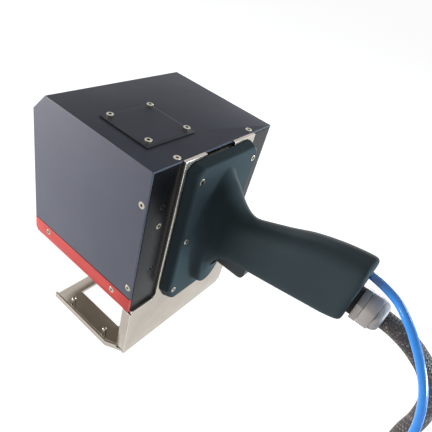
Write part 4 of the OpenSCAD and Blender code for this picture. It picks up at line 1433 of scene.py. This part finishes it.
@dataclass
class Grip:
    """Pistol grip: flange, flowing root and handle in one cast shape.

    All sizes are in millimetres from the rear face, the middle and the
    underside of the housing. Each span is where a blend starts and ends.

    Attributes:
        paint: the finishes.
        voxel: how fine the joined casting is meshed.
        melt_steps: passes that soften the joint of handle and flange.
        melt_factor: how far each pass goes.
        melt_least: what is left of that away from the root.
        melt_x: span along the grip over which the softening fades.
        keep_y: span towards the flange's sides over which it fades.
        keep_z: span towards the flange's top over which it fades.
        keep_low: span past the underside over which it fades, counted down.
        crown_x: span over which the handle's upper half gets fuller.
        crown_square: how much squarer it gets.
        ring_points: points round a section.
        steps: rings from one section to the next.
        flange_x: where the flange starts and ends.
        flange_y: its half width.
        flange_z: its lowest and highest point.
        draft: how far its sides lean in.
        flange_edge: how far its edge is broken.
        clip_low: how far its lower corners are cut, across and up.
        clip_top: how far its upper corners are cut.
        seat_depth: how deep the source sinks the screw heads.
        seat_r: radius of the sinks.
        seat_end: where the sinks end, past the flange.
        hole_r: radius of the screw holes.
        hole_x: where the screw holes start and end.
        screw_y: half the distance between the rows of screws.
        screw_z: heights of the screws.
        section_values: of each section, its place, top, bottom and widest
            height, half width, and how square it is.
        trigger_edge: how wide the trigger's edges are rounded.
        trigger_steps: faces across each of them.
    """

    paint: Paint
    voxel: float = 0.9
    melt_steps: int = 6
    melt_factor: float = 0.5
    melt_least: float = 0.12
    melt_x: tuple[float, float] = (22.0, 40.0)
    keep_y: tuple[float, float] = (31.0, 36.0)
    keep_z: tuple[float, float] = (132.0, 136.0)
    keep_low: tuple[float, float] = (-2.0, 1.0)
    crown_x: tuple[float, float] = (38.0, 66.0)
    crown_square: float = 0.6
    ring_points: int = 96
    steps: int = 6
    flange_x: tuple[float, float] = (3.0, 12.8)
    flange_y: float = 40.5
    flange_z: tuple[float, float] = (-2.85, 140.65)
    draft: float = 2.6
    flange_edge: float = 1.4
    clip_low: tuple[float, float] = (7.0, 13.0)
    clip_top: float = 5.5
    seat_depth: float = 6.0
    seat_r: float = 3.25
    seat_end: float = 36.0
    hole_r: float = 1.7
    hole_x: tuple[float, float] = (-5.0, 9.0)
    screw_y: float = 32.5
    screw_z: tuple[float, ...] = (12.4, 70.4, 128.4)
    section_values: tuple[tuple[float, ...], ...] = (
        (4.0, 132.0, 5.6, 67.0, 26.0, 1.8),
        (12.8, 130.0, 7.2, 67.0, 23.5, 1.85),
        (16.0, 126.5, 7.8, 68.0, 21.0, 2.0),
        (20.0, 122.0, 9.2, 70.0, 19.0, 2.2),
        (22.5, 119.6, 13.0, 72.0, 18.0, 2.3),
        (24.5, 117.5, 29.0, 73.5, 17.5, 2.2),
        (30.0, 110.5, 46.0, 77.0, 16.0, 2.3),
        (38.0, 103.5, 53.0, 78.0, 15.2, 2.4),
        (46.0, 101.0, 56.5, 78.5, 15.0, 2.5),
        (58.0, 104.4, 58.5, 81.3, 15.3, 2.6),
        (75.0, 111.0, 62.2, 85.4, 16.3, 2.7),
        (89.0, 117.2, 65.3, 90.4, 17.3, 2.8),
        (101.0, 121.4, 67.6, 94.0, 17.7, 2.8),
        (113.0, 124.8, 69.7, 97.2, 17.7, 2.8),
        (125.0, 127.0, 72.6, 99.0, 17.7, 3.0),
        (134.5, 128.2, 75.8, 100.5, 17.7, 3.0),
        (137.6, 127.0, 77.6, 100.5, 16.6, 3.0),
        (138.5, 124.6, 79.6, 100.5, 14.8, 3.0),
    )
    trigger_edge: float = 0.8
    trigger_steps: int = 3

    def build(self) -> None:
        """Builds the grip and its trigger and settles them."""
        shell = self.handle()
        self.join_flange(shell)
        self.melt_root(shell)
        for number, opening in enumerate(self.openings()):
            cutter = to_piece(f"grip_cutter_{number}", opening.shape())
            self.boolean(shell, cutter, "DIFFERENCE")
            drop(cutter)
        shade(shell.data, GRIP_EDGE_DEG)
        self.paint.dress(shell, SOFT_TOUCH)
        settle(shell, "pistol_grip")
        stand_in(
            self.paint, "trigger", "trigger_lever",
            (TRIGGER_PLASTIC, TRIGGER_PLASTIC), self.trigger_edge,
            steps=self.trigger_steps,
        )

    def section(self, i: int, t: float) -> list[float]:
        """Gives the section at a share of the way from one to the next.

        Args:
            i: number of the section before.
            t: how far it is to the next, from 0 to 1.

        Returns:
            The six values of the section between.
        """
        rows, last = self.section_values, len(self.section_values) - 1
        numbers = (max(i - 1, 0), i, min(i + 1, last), min(i + 2, last))
        return [between(*values, t) for values in zip(*(rows[n] for n in numbers))]

    def ring(self, values: Sequence[float]) -> Ring:
        """Gives the points round one section, its upper half fuller to the end.

        Args:
            values: the section's six values.

        Returns:
            The points.
        """
        x, top, bottom, middle, half, lower_square = values
        upper_square = lower_square + self.crown_square * ramp(x, self.crown_x)
        points = []
        for k in range(self.ring_points):
            a = 2 * math.pi * k / self.ring_points
            c, s = math.cos(a), math.sin(a)
            rise = top - middle if s > 0 else middle - bottom
            square = upper_square if s > 0 else lower_square
            y = half * math.copysign(abs(c) ** (2 / square), c)
            z = middle + rise * math.copysign(abs(s) ** (2 / square), s)
            points.append(from_rear(x, y, z))
        return points

    def flange_outline(self, x: float, inset: float) -> Ring:
        """Gives the flange's clipped outline.

        Args:
            x: its distance from the rear face.
            inset: how far its sides are in.

        Returns:
            The outline's corners.
        """
        y = self.flange_y - inset
        low, top = self.flange_z
        low, top = low + inset / 2, top - inset / 2
        across, up = self.clip_low
        half = [(y - across, low), (y, low + up), (y, top - self.clip_top),
                (y - self.clip_top, top)]
        outline = half + [(-a, b) for a, b in reversed(half)]
        return [from_rear(x, a, b) for a, b in outline]

    def handle(self) -> bpy.types.Object:
        """Skins the root and the handle over their sections.

        Returns:
            The handle's piece.
        """
        last = len(self.section_values) - 1
        rows = [self.section(i, j / self.steps)
                for i in range(last) for j in range(self.steps)]
        rows.append(list(self.section_values[last]))
        return to_piece("grip_shell", loft([self.ring(row) for row in rows]))

    def join_flange(self, handle: bpy.types.Object) -> None:
        """Joins the flange to the handle and meshes both anew as one casting.

        Args:
            handle: the handle's piece, which becomes the casting.
        """
        back, front = self.flange_x
        flange = to_piece("grip_flange", loft([
            self.flange_outline(back, 0.0),
            self.flange_outline(front - self.flange_edge, self.draft),
            self.flange_outline(front, self.draft + self.flange_edge),
        ]))
        self.boolean(handle, flange, "UNION")
        drop(flange)
        remesh = handle.modifiers.new("cast", "REMESH")
        remesh.mode = "VOXEL"
        remesh.voxel_size = self.voxel * MM
        baked(handle)

    def melt_root(self, handle: bpy.types.Object) -> None:
        """Melts the seam of handle and flange to the root's soft fillet.

        Args:
            handle: the casting.
        """
        near_root = handle.vertex_groups.new(name="near_root")
        for vert in handle.data.vertices:
            z = vert.co.z / MM - BASE_Z_MM
            away = max(
                ramp(vert.co.x / MM - REAR_X_MM, self.melt_x),
                ramp(abs(vert.co.y) / MM, self.keep_y),
                ramp(z, self.keep_z),
                ramp(-z, self.keep_low),
            )
            near_root.add([vert.index], 1.0 + (self.melt_least - 1.0) * away, "REPLACE")
        melt = handle.modifiers.new("melt", "SMOOTH")
        melt.factor = self.melt_factor
        melt.iterations = self.melt_steps
        melt.vertex_group = near_root.name
        baked(handle)
        handle.vertex_groups.clear()

    def openings(self) -> list[Pocket | Bore]:
        """Gives every opening of the casting.

        Returns:
            The openings, those for the screws last.
        """
        seat_x = self.flange_x[1] - self.seat_depth + GRIP_HEAD_LIFT_MM
        start, end = self.hole_x
        found = list(GRIP_OPENINGS.values())
        for y in (-self.screw_y, self.screw_y):
            for z in self.screw_z:
                found.append(Bore((seat_x, y, z), (self.seat_end, y, z), self.seat_r))
                found.append(Bore((start, y, z), (end, y, z), self.hole_r, HOLE_SIDES))
        return found

    @staticmethod
    def boolean(
        piece: bpy.types.Object, tool: bpy.types.Object, operation: str
    ) -> None:
        """Joins or cuts a piece with a tool, and keeps the plain result.

        Args:
            piece: the piece that changes.
            tool: the closed piece that is joined or taken out.
            operation: UNION or DIFFERENCE.
        """
        step = piece.modifiers.new("step", "BOOLEAN")
        step.operation = operation
        step.solver = "MANIFOLD"
        step.object = tool
        baked(piece)


# ---- gland ------------------------------------------------------------------


@dataclass
class Gland:
    """Cable gland: body and clamping nut with moulded, rounded edges.

    Attributes:
        paint: the finishes.
        edge_mm: how wide the edges are rounded.
        nut_deg: the least turn of a rounded edge of the nut, whose many
            flutes stay as they are.
    """

    paint: Paint
    edge_mm: float = 0.3
    nut_deg: float = 40.0

    def build(self) -> None:
        """Builds and settles body and nut."""
        both = (GLAND_GREY, GLAND_GREY)
        stand_in(self.paint, "gland_body", "gland_body_moulded", both, self.edge_mm)
        stand_in(self.paint, "gland_nut", "gland_nut_moulded", both, self.edge_mm,
                 angle_deg=self.nut_deg)


# ---- cords ------------------------------------------------------------------


def smooth_way(points: Sequence[Vector], step: float) -> list[Vector]:
    """Runs a smooth curve through points, with a point about every step.

    Args:
        points: what the curve passes through.
        step: the distance between two points of the result.

    Returns:
        The points of the curve.
    """
    way, last = [], len(points) - 1
    for i in range(last):
        a, b = points[max(i - 1, 0)], points[i]
        c, d = points[i + 1], points[min(i + 2, last)]
        count = max(2, round((c - b).length / step))
        way += [between(a, b, c, d, j / count) for j in range(count)]
    way.append(points[-1])
    return way


def length_of(way: Sequence[Vector]) -> float:
    """Adds up a way's length."""
    return sum((b - a).length for a, b in zip(way, way[1:]))


@dataclass(frozen=True)
class Coil:
    """Turns of a cord that lie beside and on each other.

    Attributes:
        centre: the coil's middle on the floor, in millimetres.
        stations: turn count, radius and height at which the cord lies, in order.
        points_a_turn: how finely a turn is drawn.
    """

    centre: tuple[float, float]
    stations: tuple[tuple[float, float, float], ...]
    points_a_turn: int = 48

    def way(self) -> list[Vector]:
        """Follows the turns, clockwise from the +Y side.

        Returns:
            The points of the cord's centreline.
        """
        points = []
        for (t0, r0, z0), (t1, r1, z1) in zip(self.stations, self.stations[1:]):
            count = max(1, round((t1 - t0) * self.points_a_turn))
            for k in range(count):
                f = k / count
                points.append(self.at(t0 + (t1 - t0) * f, r0 + (r1 - r0) * ease(f),
                                      z0 + (z1 - z0) * ease(f)))
        points.append(self.at(*self.stations[-1]))
        return points

    def at(self, turn: float, radius: float, z: float) -> Vector:
        """Gives one point of the coil.

        Args:
            turn: how many turns it is from the start.
            radius: its distance from the middle, in millimetres.
            z: its height, in millimetres.

        Returns:
            The point.
        """
        a = math.pi / 2 - 2 * math.pi * turn
        x, y = self.centre
        return mm(x + radius * math.cos(a), y + radius * math.sin(a), z)


@dataclass
class Cord:
    """A round cord: route, coil and tube mesh with its own UV map.

    Attributes:
        paint: the finishes.
        name: the cord piece's name.
        finish: its finish.
        slot: its material slot; not used.
        diameter_mm: its real diameter.
        route: the free part's points in millimetres, as in the source.
        coil: the stored turns.
        nodes: CAD solids that it stands for.
        far_end: what ends it; not used.
        exit: where it leaves the object, in millimetres; not used.
        length: its declared length in metres; not used.
        sides: points round it.
        step_mm: distance between two rings.
        strands: strands round a braid, which scale the UV map.
        way: the points of its centreline, once it is built.
    """

    paint: Paint
    name: str
    finish: Finish
    slot: str
    diameter_mm: float
    route: Sequence[Point]
    coil: Coil
    nodes: tuple[str, ...]
    far_end: str
    exit: Point
    length: float
    sides: int
    strands: int
    step_mm: float = 4.0
    way: list[Vector] = field(default_factory=list)

    def build(self) -> bpy.types.Object:
        """Builds and dresses the cord.

        Returns:
            The cord's piece.
        """
        free = smooth_way([mm(*p) for p in self.route], self.step_mm * MM)
        self.way = free[:-1] + self.coil.way()
        piece = self.tube()
        self.paint.dress(piece, self.finish)
        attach(piece, "head")
        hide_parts(*self.nodes)
        log.info("%s is %.3f m long", self.name, length_of(self.way))
        return piece

    def tube(self) -> bpy.types.Object:
        """Sweeps the cord's round section along its way.

        Returns:
            The tube, its UV map in strands along and round.
        """
        radius, last = self.diameter_mm * MM / 2, len(self.way) - 1
        turns = [2 * math.pi * k / self.sides for k in range(self.sides)]
        normal = Vector((0, 1, 0))
        rings, travelled, lengths = [], 0.0, []
        for i, p in enumerate(self.way):
            ahead = (self.way[min(i + 1, last)] - self.way[max(i - 1, 0)]).normalized()
            normal = (normal - ahead * normal.dot(ahead)).normalized()
            side = ahead.cross(normal)
            rings.append([p + radius * (math.cos(a) * normal + math.sin(a) * side)
                          for a in turns])
            if i:
                travelled += (p - self.way[i - 1]).length
            lengths.append(travelled)
        work = loft(rings)
        self.unwrap(work, lengths)
        return to_piece(self.name, work, CORD_EDGE_DEG)

    def unwrap(self, work: bmesh.types.BMesh, lengths: Sequence[float]) -> None:
        """Lays the UV map: strands round the cord, and as wide along it.

        Args:
            work: the tube's mesh, its points in rings.
            lengths: how far along the cord each ring lies.
        """
        work.verts.index_update()
        layer = work.loops.layers.uv.new("strands")
        around = math.pi * self.diameter_mm * MM
        for face in work.faces:
            if len(face.verts) == self.sides:
                continue
            spots = [divmod(loop.vert.index, self.sides) for loop in face.loops]
            wraps = max(k for _, k in spots) - min(k for _, k in spots) > 1
            for loop, (row, k) in zip(face.loops, spots):
                turn = (k + self.sides if wraps and k == 0 else k) / self.sides
                loop[layer].uv = (lengths[row] / around * self.strands,
                                  turn * self.strands)


CABLE_ROUTE: tuple[Point, ...] = (
    (138.5, 0, 156.5), (145.5, 0, 156.5), (156, 0, 155.3), (167, 0, 152),
    (177, 0.5, 146.5), (187, 1, 138.5), (199, 2, 119.5), (204, 4, 96),
    (205, 7, 69), (209, 11, 45), (222, 16, 25), (242, 22, 12), (265, 31, 8.1),
    (291, 43, 8.1), (317, 55, 8.1), (343, 66, 8.1), (371, 75.5, 8.1),
    (399, 81, 8.1), (431, 82.9, 8.1),
)
CABLE_COIL = Coil((431, 0), (
    (0.0, 82.9, 8.1), (0.82, 82.9, 8.1), (1.0, 69.1, 8.1), (1.8, 69.1, 8.1),
    (2.0, 69.1, 21.9), (2.62, 69.1, 21.9), (2.8, 82.9, 21.9),
    (3.0, 82.9, 22.3), (3.12, 81.0, 31.0), (3.25, 76.0, 41.4),
))
TUBE_ROUTE: tuple[Point, ...] = (
    (123, 0, 181.3), (134.5, -1, 179.7), (146, -4, 177.5), (157, -9.5, 173),
    (168, -14, 165), (178, -17, 155), (187, -19, 143), (194, -20.5, 129),
    (199, -21.5, 114), (202, -22, 98), (203, -22, 82), (204, -22, 66),
    (207, -21.5, 50), (213, -20.5, 35), (223, -19.5, 21), (236, -17.5, 10),
    (251, -15.5, 5), (267, -13.5, 4.2), (282, -12.3, 4.2), (298, -12, 4.2),
)
TUBE_COIL = Coil((298, -51), (
    (0.0, 39.0, 4.2), (0.82, 39.0, 4.2), (1.0, 33.0, 4.2), (1.82, 33.0, 4.2),
    (2.0, 27.0, 4.2), (2.82, 27.0, 4.2), (3.0, 27.0, 10.2), (3.64, 27.0, 10.2),
    (3.82, 33.0, 10.2), (4.64, 33.0, 10.2), (4.82, 39.0, 10.2), (5.46, 39.0, 10.2),
    (5.64, 39.0, 16.2), (6.28, 39.0, 16.2), (6.46, 33.0, 16.2), (7.28, 33.0, 16.2),
    (7.46, 27.0, 16.2), (8.0, 27.0, 16.4), (8.12, 29.0, 20.8), (8.25, 33.0, 24.8),
))


@dataclass(frozen=True)
class Knurl:
    """Ribs round the collar of a fitting, in millimetres.

    Attributes:
        count: how many ribs.
        middle: the middle of the ribbed length.
        ring_r: radius on which the ribs stand.
        rib_r: radius of a rib.
        length: length of a rib.
        sides: points round a rib.
    """

    count: int
    middle: Point
    ring_r: float
    rib_r: float
    length: float
    sides: int = 6


@dataclass
class Umbilical:
    """Braided cable and ink tube with their coils, ties and end fittings.

    Attributes:
        paint: the finishes.
        fitting_edge_mm: how wide the edges of the fittings are rounded.
        tie_edge_mm: how wide the edges of the ties are rounded.
        plug_knurl: the ribs of the cable's connector.
        nipple_knurl: the ribs of the tube's fitting.
    """

    paint: Paint
    fitting_edge_mm: float = 0.3
    tie_edge_mm: float = 0.25
    plug_knurl: Knurl = Knurl(60, (507, -27, 41.4), 11.0, 0.35, 12.0)
    nipple_knurl: Knurl = Knurl(40, (331, -61, 24.8), 6.0, 0.22, 10.0)

    def build(self) -> None:
        """Builds both cords, then what lies on them."""
        cable = Cord(
            self.paint, "umbilical_sleeve", BRAID, "braid", diameter_mm=13.8,
            route=CABLE_ROUTE, coil=CABLE_COIL,
            nodes=("umbilical_cable", "umbilical_coil"), far_end="connector",
            exit=(145.5, 0, 156.5), length=1.94, sides=32, strands=20,
        )
        tube = Cord(
            self.paint, "ink_tube_line", BLUE_TUBE, "blue_tube", diameter_mm=6.0,
            route=TUBE_ROUTE, coil=TUBE_COIL,
            nodes=("ink_tube", "ink_tube_coil"), far_end="fitting",
            exit=(123, 0, 181.3), length=2.0, sides=16, strands=8,
        )
        sleeve, line = cable.build(), tube.build()
        tree = rib_tree()
        plug = self.fitting(
            tree, "umbilical_connector", "connector_plug", self.plug_knurl, SATIN_NICKEL
        )
        nipple = self.fitting(
            tree, "ink_tube_fitting", "tube_fitting", self.nipple_knurl, BRASS
        )
        cable_strap, tube_strap = [
            stand_in(self.paint, node, name, (HOOK_TAPE, HOOK_TAPE), self.tie_edge_mm)
            for node, name in (("umbilical_tie", "cable_strap"),
                               ("ink_tube_tie", "tube_strap"))
        ]

    def fitting(
        self, tree: bpy.types.NodeTree, node: str, name: str, knurl: Knurl,
        finish: Finish,
    ) -> bpy.types.Object:
        """Rounds a fitting's edges and sets ribs round its collar.

        Args:
            tree: the geometry tree of the ribs.
            node: the CAD node of the fitting.
            name: the new piece's name.
            knurl: the ribs.
            finish: the fitting's finish.

        Returns:
            The fitting, settled for its node.
        """
        body = softened(node, name + "_body", self.fitting_edge_mm)
        self.paint.dress(body, finish, finish)
        piece = run_group(name, body.data.copy(), tree, {
            "Count": knurl.count, "Sides": knurl.sides,
            "Ring radius": knurl.ring_r * MM, "Rib radius": knurl.rib_r * MM,
            "Rib length": knurl.length * MM, "Middle": tuple(mm(*knurl.middle)),
            "Axis turn": (math.pi / 2, 0.0, 0.0), "Material": self.paint.of(finish),
        })
        drop(body)
        shade(piece.data, KNURL_EDGE_DEG)
        return settle(piece, node)


# ---- studio -----------------------------------------------------------------


@dataclass(frozen=True)
class Lamp:
    """A soft lamp that faces the object.

    Attributes:
        name: the lamp's name.
        place: where it stands.
        size: its width and height.
        watts: its power.
        colour: its colour, sRGB hex.
        aim: height that it faces above the frame's origin, as a share of its own.
    """

    name: str
    place: Point
    size: tuple[float, float]
    watts: float
    colour: str
    aim: float = 0.6

    def build(self) -> None:
        """Builds the lamp."""
        data = bpy.data.lights.new(self.name, "AREA")
        data.shape = "RECTANGLE"
        data.size, data.size_y = self.size
        data.energy = self.watts
        data.color = linear(self.colour)[:3]
        lamp = bpy.data.objects.new(self.name, data)
        bpy.context.scene.collection.objects.link(lamp)
        place = Vector(self.place)
        way = Vector((0, 0, self.place[2] * self.aim)) - place
        turn = way.to_track_quat("-Z", "Y").to_matrix().to_4x4()
        lamp.matrix_world = Matrix.Translation(place) @ turn


@dataclass
class Studio:
    """Camera at the photograph's place, pale floor and soft lights.

    Attributes:
        eye: where the camera is.
        right: which way is right in the picture.
        up: about which way is up in the picture.
        lens_mm: focal length.
        sensor_mm: width of the sensor.
        clip: from how near to how far the camera sees.
        room_light: how strongly the room lights the object.
        floor_glow: how much light the floor adds where it is seen.
        floor_colour: the floor's own colour, sRGB hex.
        floor_half: half the floor's width.
        lamps: low lamps, so that what faces up stays dark, and one on the rim.
    """

    eye: Point = (0.12803, -0.2418, 0.3524)
    right: Point = (0.7541, 0.6114, 0.2403)
    up: Point = (-0.5381, 0.3651, 0.7597)
    lens_mm: float = 34.57
    sensor_mm: float = 36.0
    clip: tuple[float, float] = (0.01, 80.0)
    room_light: float = 0.14
    floor_glow: float = 0.88
    floor_colour: str = "#c8c8c8"
    floor_half: float = 30.0
    lamps: tuple[Lamp, ...] = (
        Lamp("key", (-0.95, -0.85, 0.105), (0.9, 0.19), 21.0, "#fffcfa"),
        Lamp("side", (1.25, 0.3, 0.105), (0.8, 0.19), 18.0, "#e2f5ff"),
        Lamp("far", (-0.2, 1.25, 0.105), (0.9, 0.19), 9.0, "#ffffff"),
        Lamp("rim", (0.8, 0.8, 0.9), (0.5, 0.5), 4.5, "#f0fbff"),
    )

    def camera(self) -> None:
        """Sets the camera, which is rolled as in the photograph."""
        data = bpy.data.cameras.new("camera")
        data.lens, data.sensor_width = self.lens_mm, self.sensor_mm
        data.clip_start, data.clip_end = self.clip
        eye = bpy.data.objects.new("camera", data)
        bpy.context.scene.collection.objects.link(eye)
        right, up = Vector(self.right).normalized(), Vector(self.up)
        up = (up - right * right.dot(up)).normalized()
        back = right.cross(up)
        turn = Matrix((right, up, back)).transposed().to_4x4()
        eye.matrix_world = Matrix.Translation(Vector(self.eye)) @ turn
        bpy.context.scene.camera = eye

    def build(self) -> None:
        """Builds lights, floor and world."""
        for lamp in self.lamps:
            lamp.build()
        self.floor()
        self.world()
        bpy.context.scene.view_settings.view_transform = "Standard"

    def floor(self) -> None:
        """Lays a pale floor that keeps the object's shadow."""
        work = bmesh.new()
        bmesh.ops.create_grid(work, x_segments=1, y_segments=1, size=self.floor_half)
        mesh = bpy.data.meshes.new("floor")
        work.to_mesh(mesh)
        work.free()
        floor = new_piece("floor", mesh)
        material = bpy.data.materials.new("pale_floor")
        material.use_nodes = True
        tree = material.node_tree
        tree.nodes.clear()
        seen = self.seen(tree)
        paper = add_node(
            tree, "ShaderNodeBsdfDiffuse", {"Color": linear(self.floor_colour)}
        )
        share = add_node(
            tree, "ShaderNodeMath", {0: seen, 1: self.floor_glow}, operation="MULTIPLY"
        )
        glow = add_node(tree, "ShaderNodeEmission", {
            "Color": (1, 1, 1, 1), "Strength": share.outputs[0],
        })
        both = add_node(
            tree, "ShaderNodeAddShader", {0: paper.outputs[0], 1: glow.outputs[0]}
        )
        add_node(tree, "ShaderNodeOutputMaterial", {"Surface": both.outputs[0]})
        floor.data.materials.append(material)

    @staticmethod
    def seen(tree: bpy.types.NodeTree) -> bpy.types.NodeSocket:
        """Tells the camera, a mirror or clear glass from other light.

        Args:
            tree: the tree of a material or the world.

        Returns:
            A value that is 1 for what they see and 0 for the rest.
        """
        path = add_node(tree, "ShaderNodeLightPath").outputs
        first = add_node(
            tree, "ShaderNodeMath",
            {0: path["Is Camera Ray"], 1: path["Is Glossy Ray"]}, operation="MAXIMUM",
        )
        return add_node(
            tree, "ShaderNodeMath",
            {0: first.outputs[0], 1: path["Is Transmission Ray"]}, operation="MAXIMUM",
        ).outputs[0]

    def world(self) -> None:
        """Makes the room: white where it is seen, a plain level where it lights."""
        world = bpy.data.worlds.new("room")
        bpy.context.scene.world = world
        world.use_nodes = True
        tree = world.node_tree
        tree.nodes.clear()
        level = add_node(tree, "ShaderNodeMapRange", {
            "Value": self.seen(tree), "To Min": self.room_light, "To Max": 1.0,
        })
        sky = add_node(tree, "ShaderNodeBackground", {
            "Color": linear("#ffffff"), "Strength": level.outputs[0],
        })
        add_node(tree, "ShaderNodeOutputWorld", {"Surface": sky.outputs[0]})


def main() -> None:
    """Builds everything in order."""
    paint = Paint()
    studio = Studio()
    studio.camera()
    Umbilical(paint).build()
    paint.dress_frame()
    Housing(paint).build()
    GuideBracket(paint).build()
    Grip(paint).build()
    Gland(paint).build()
    ScrewRows(paint).build()
    studio.build()


if __name__ == "__main__":
    main()
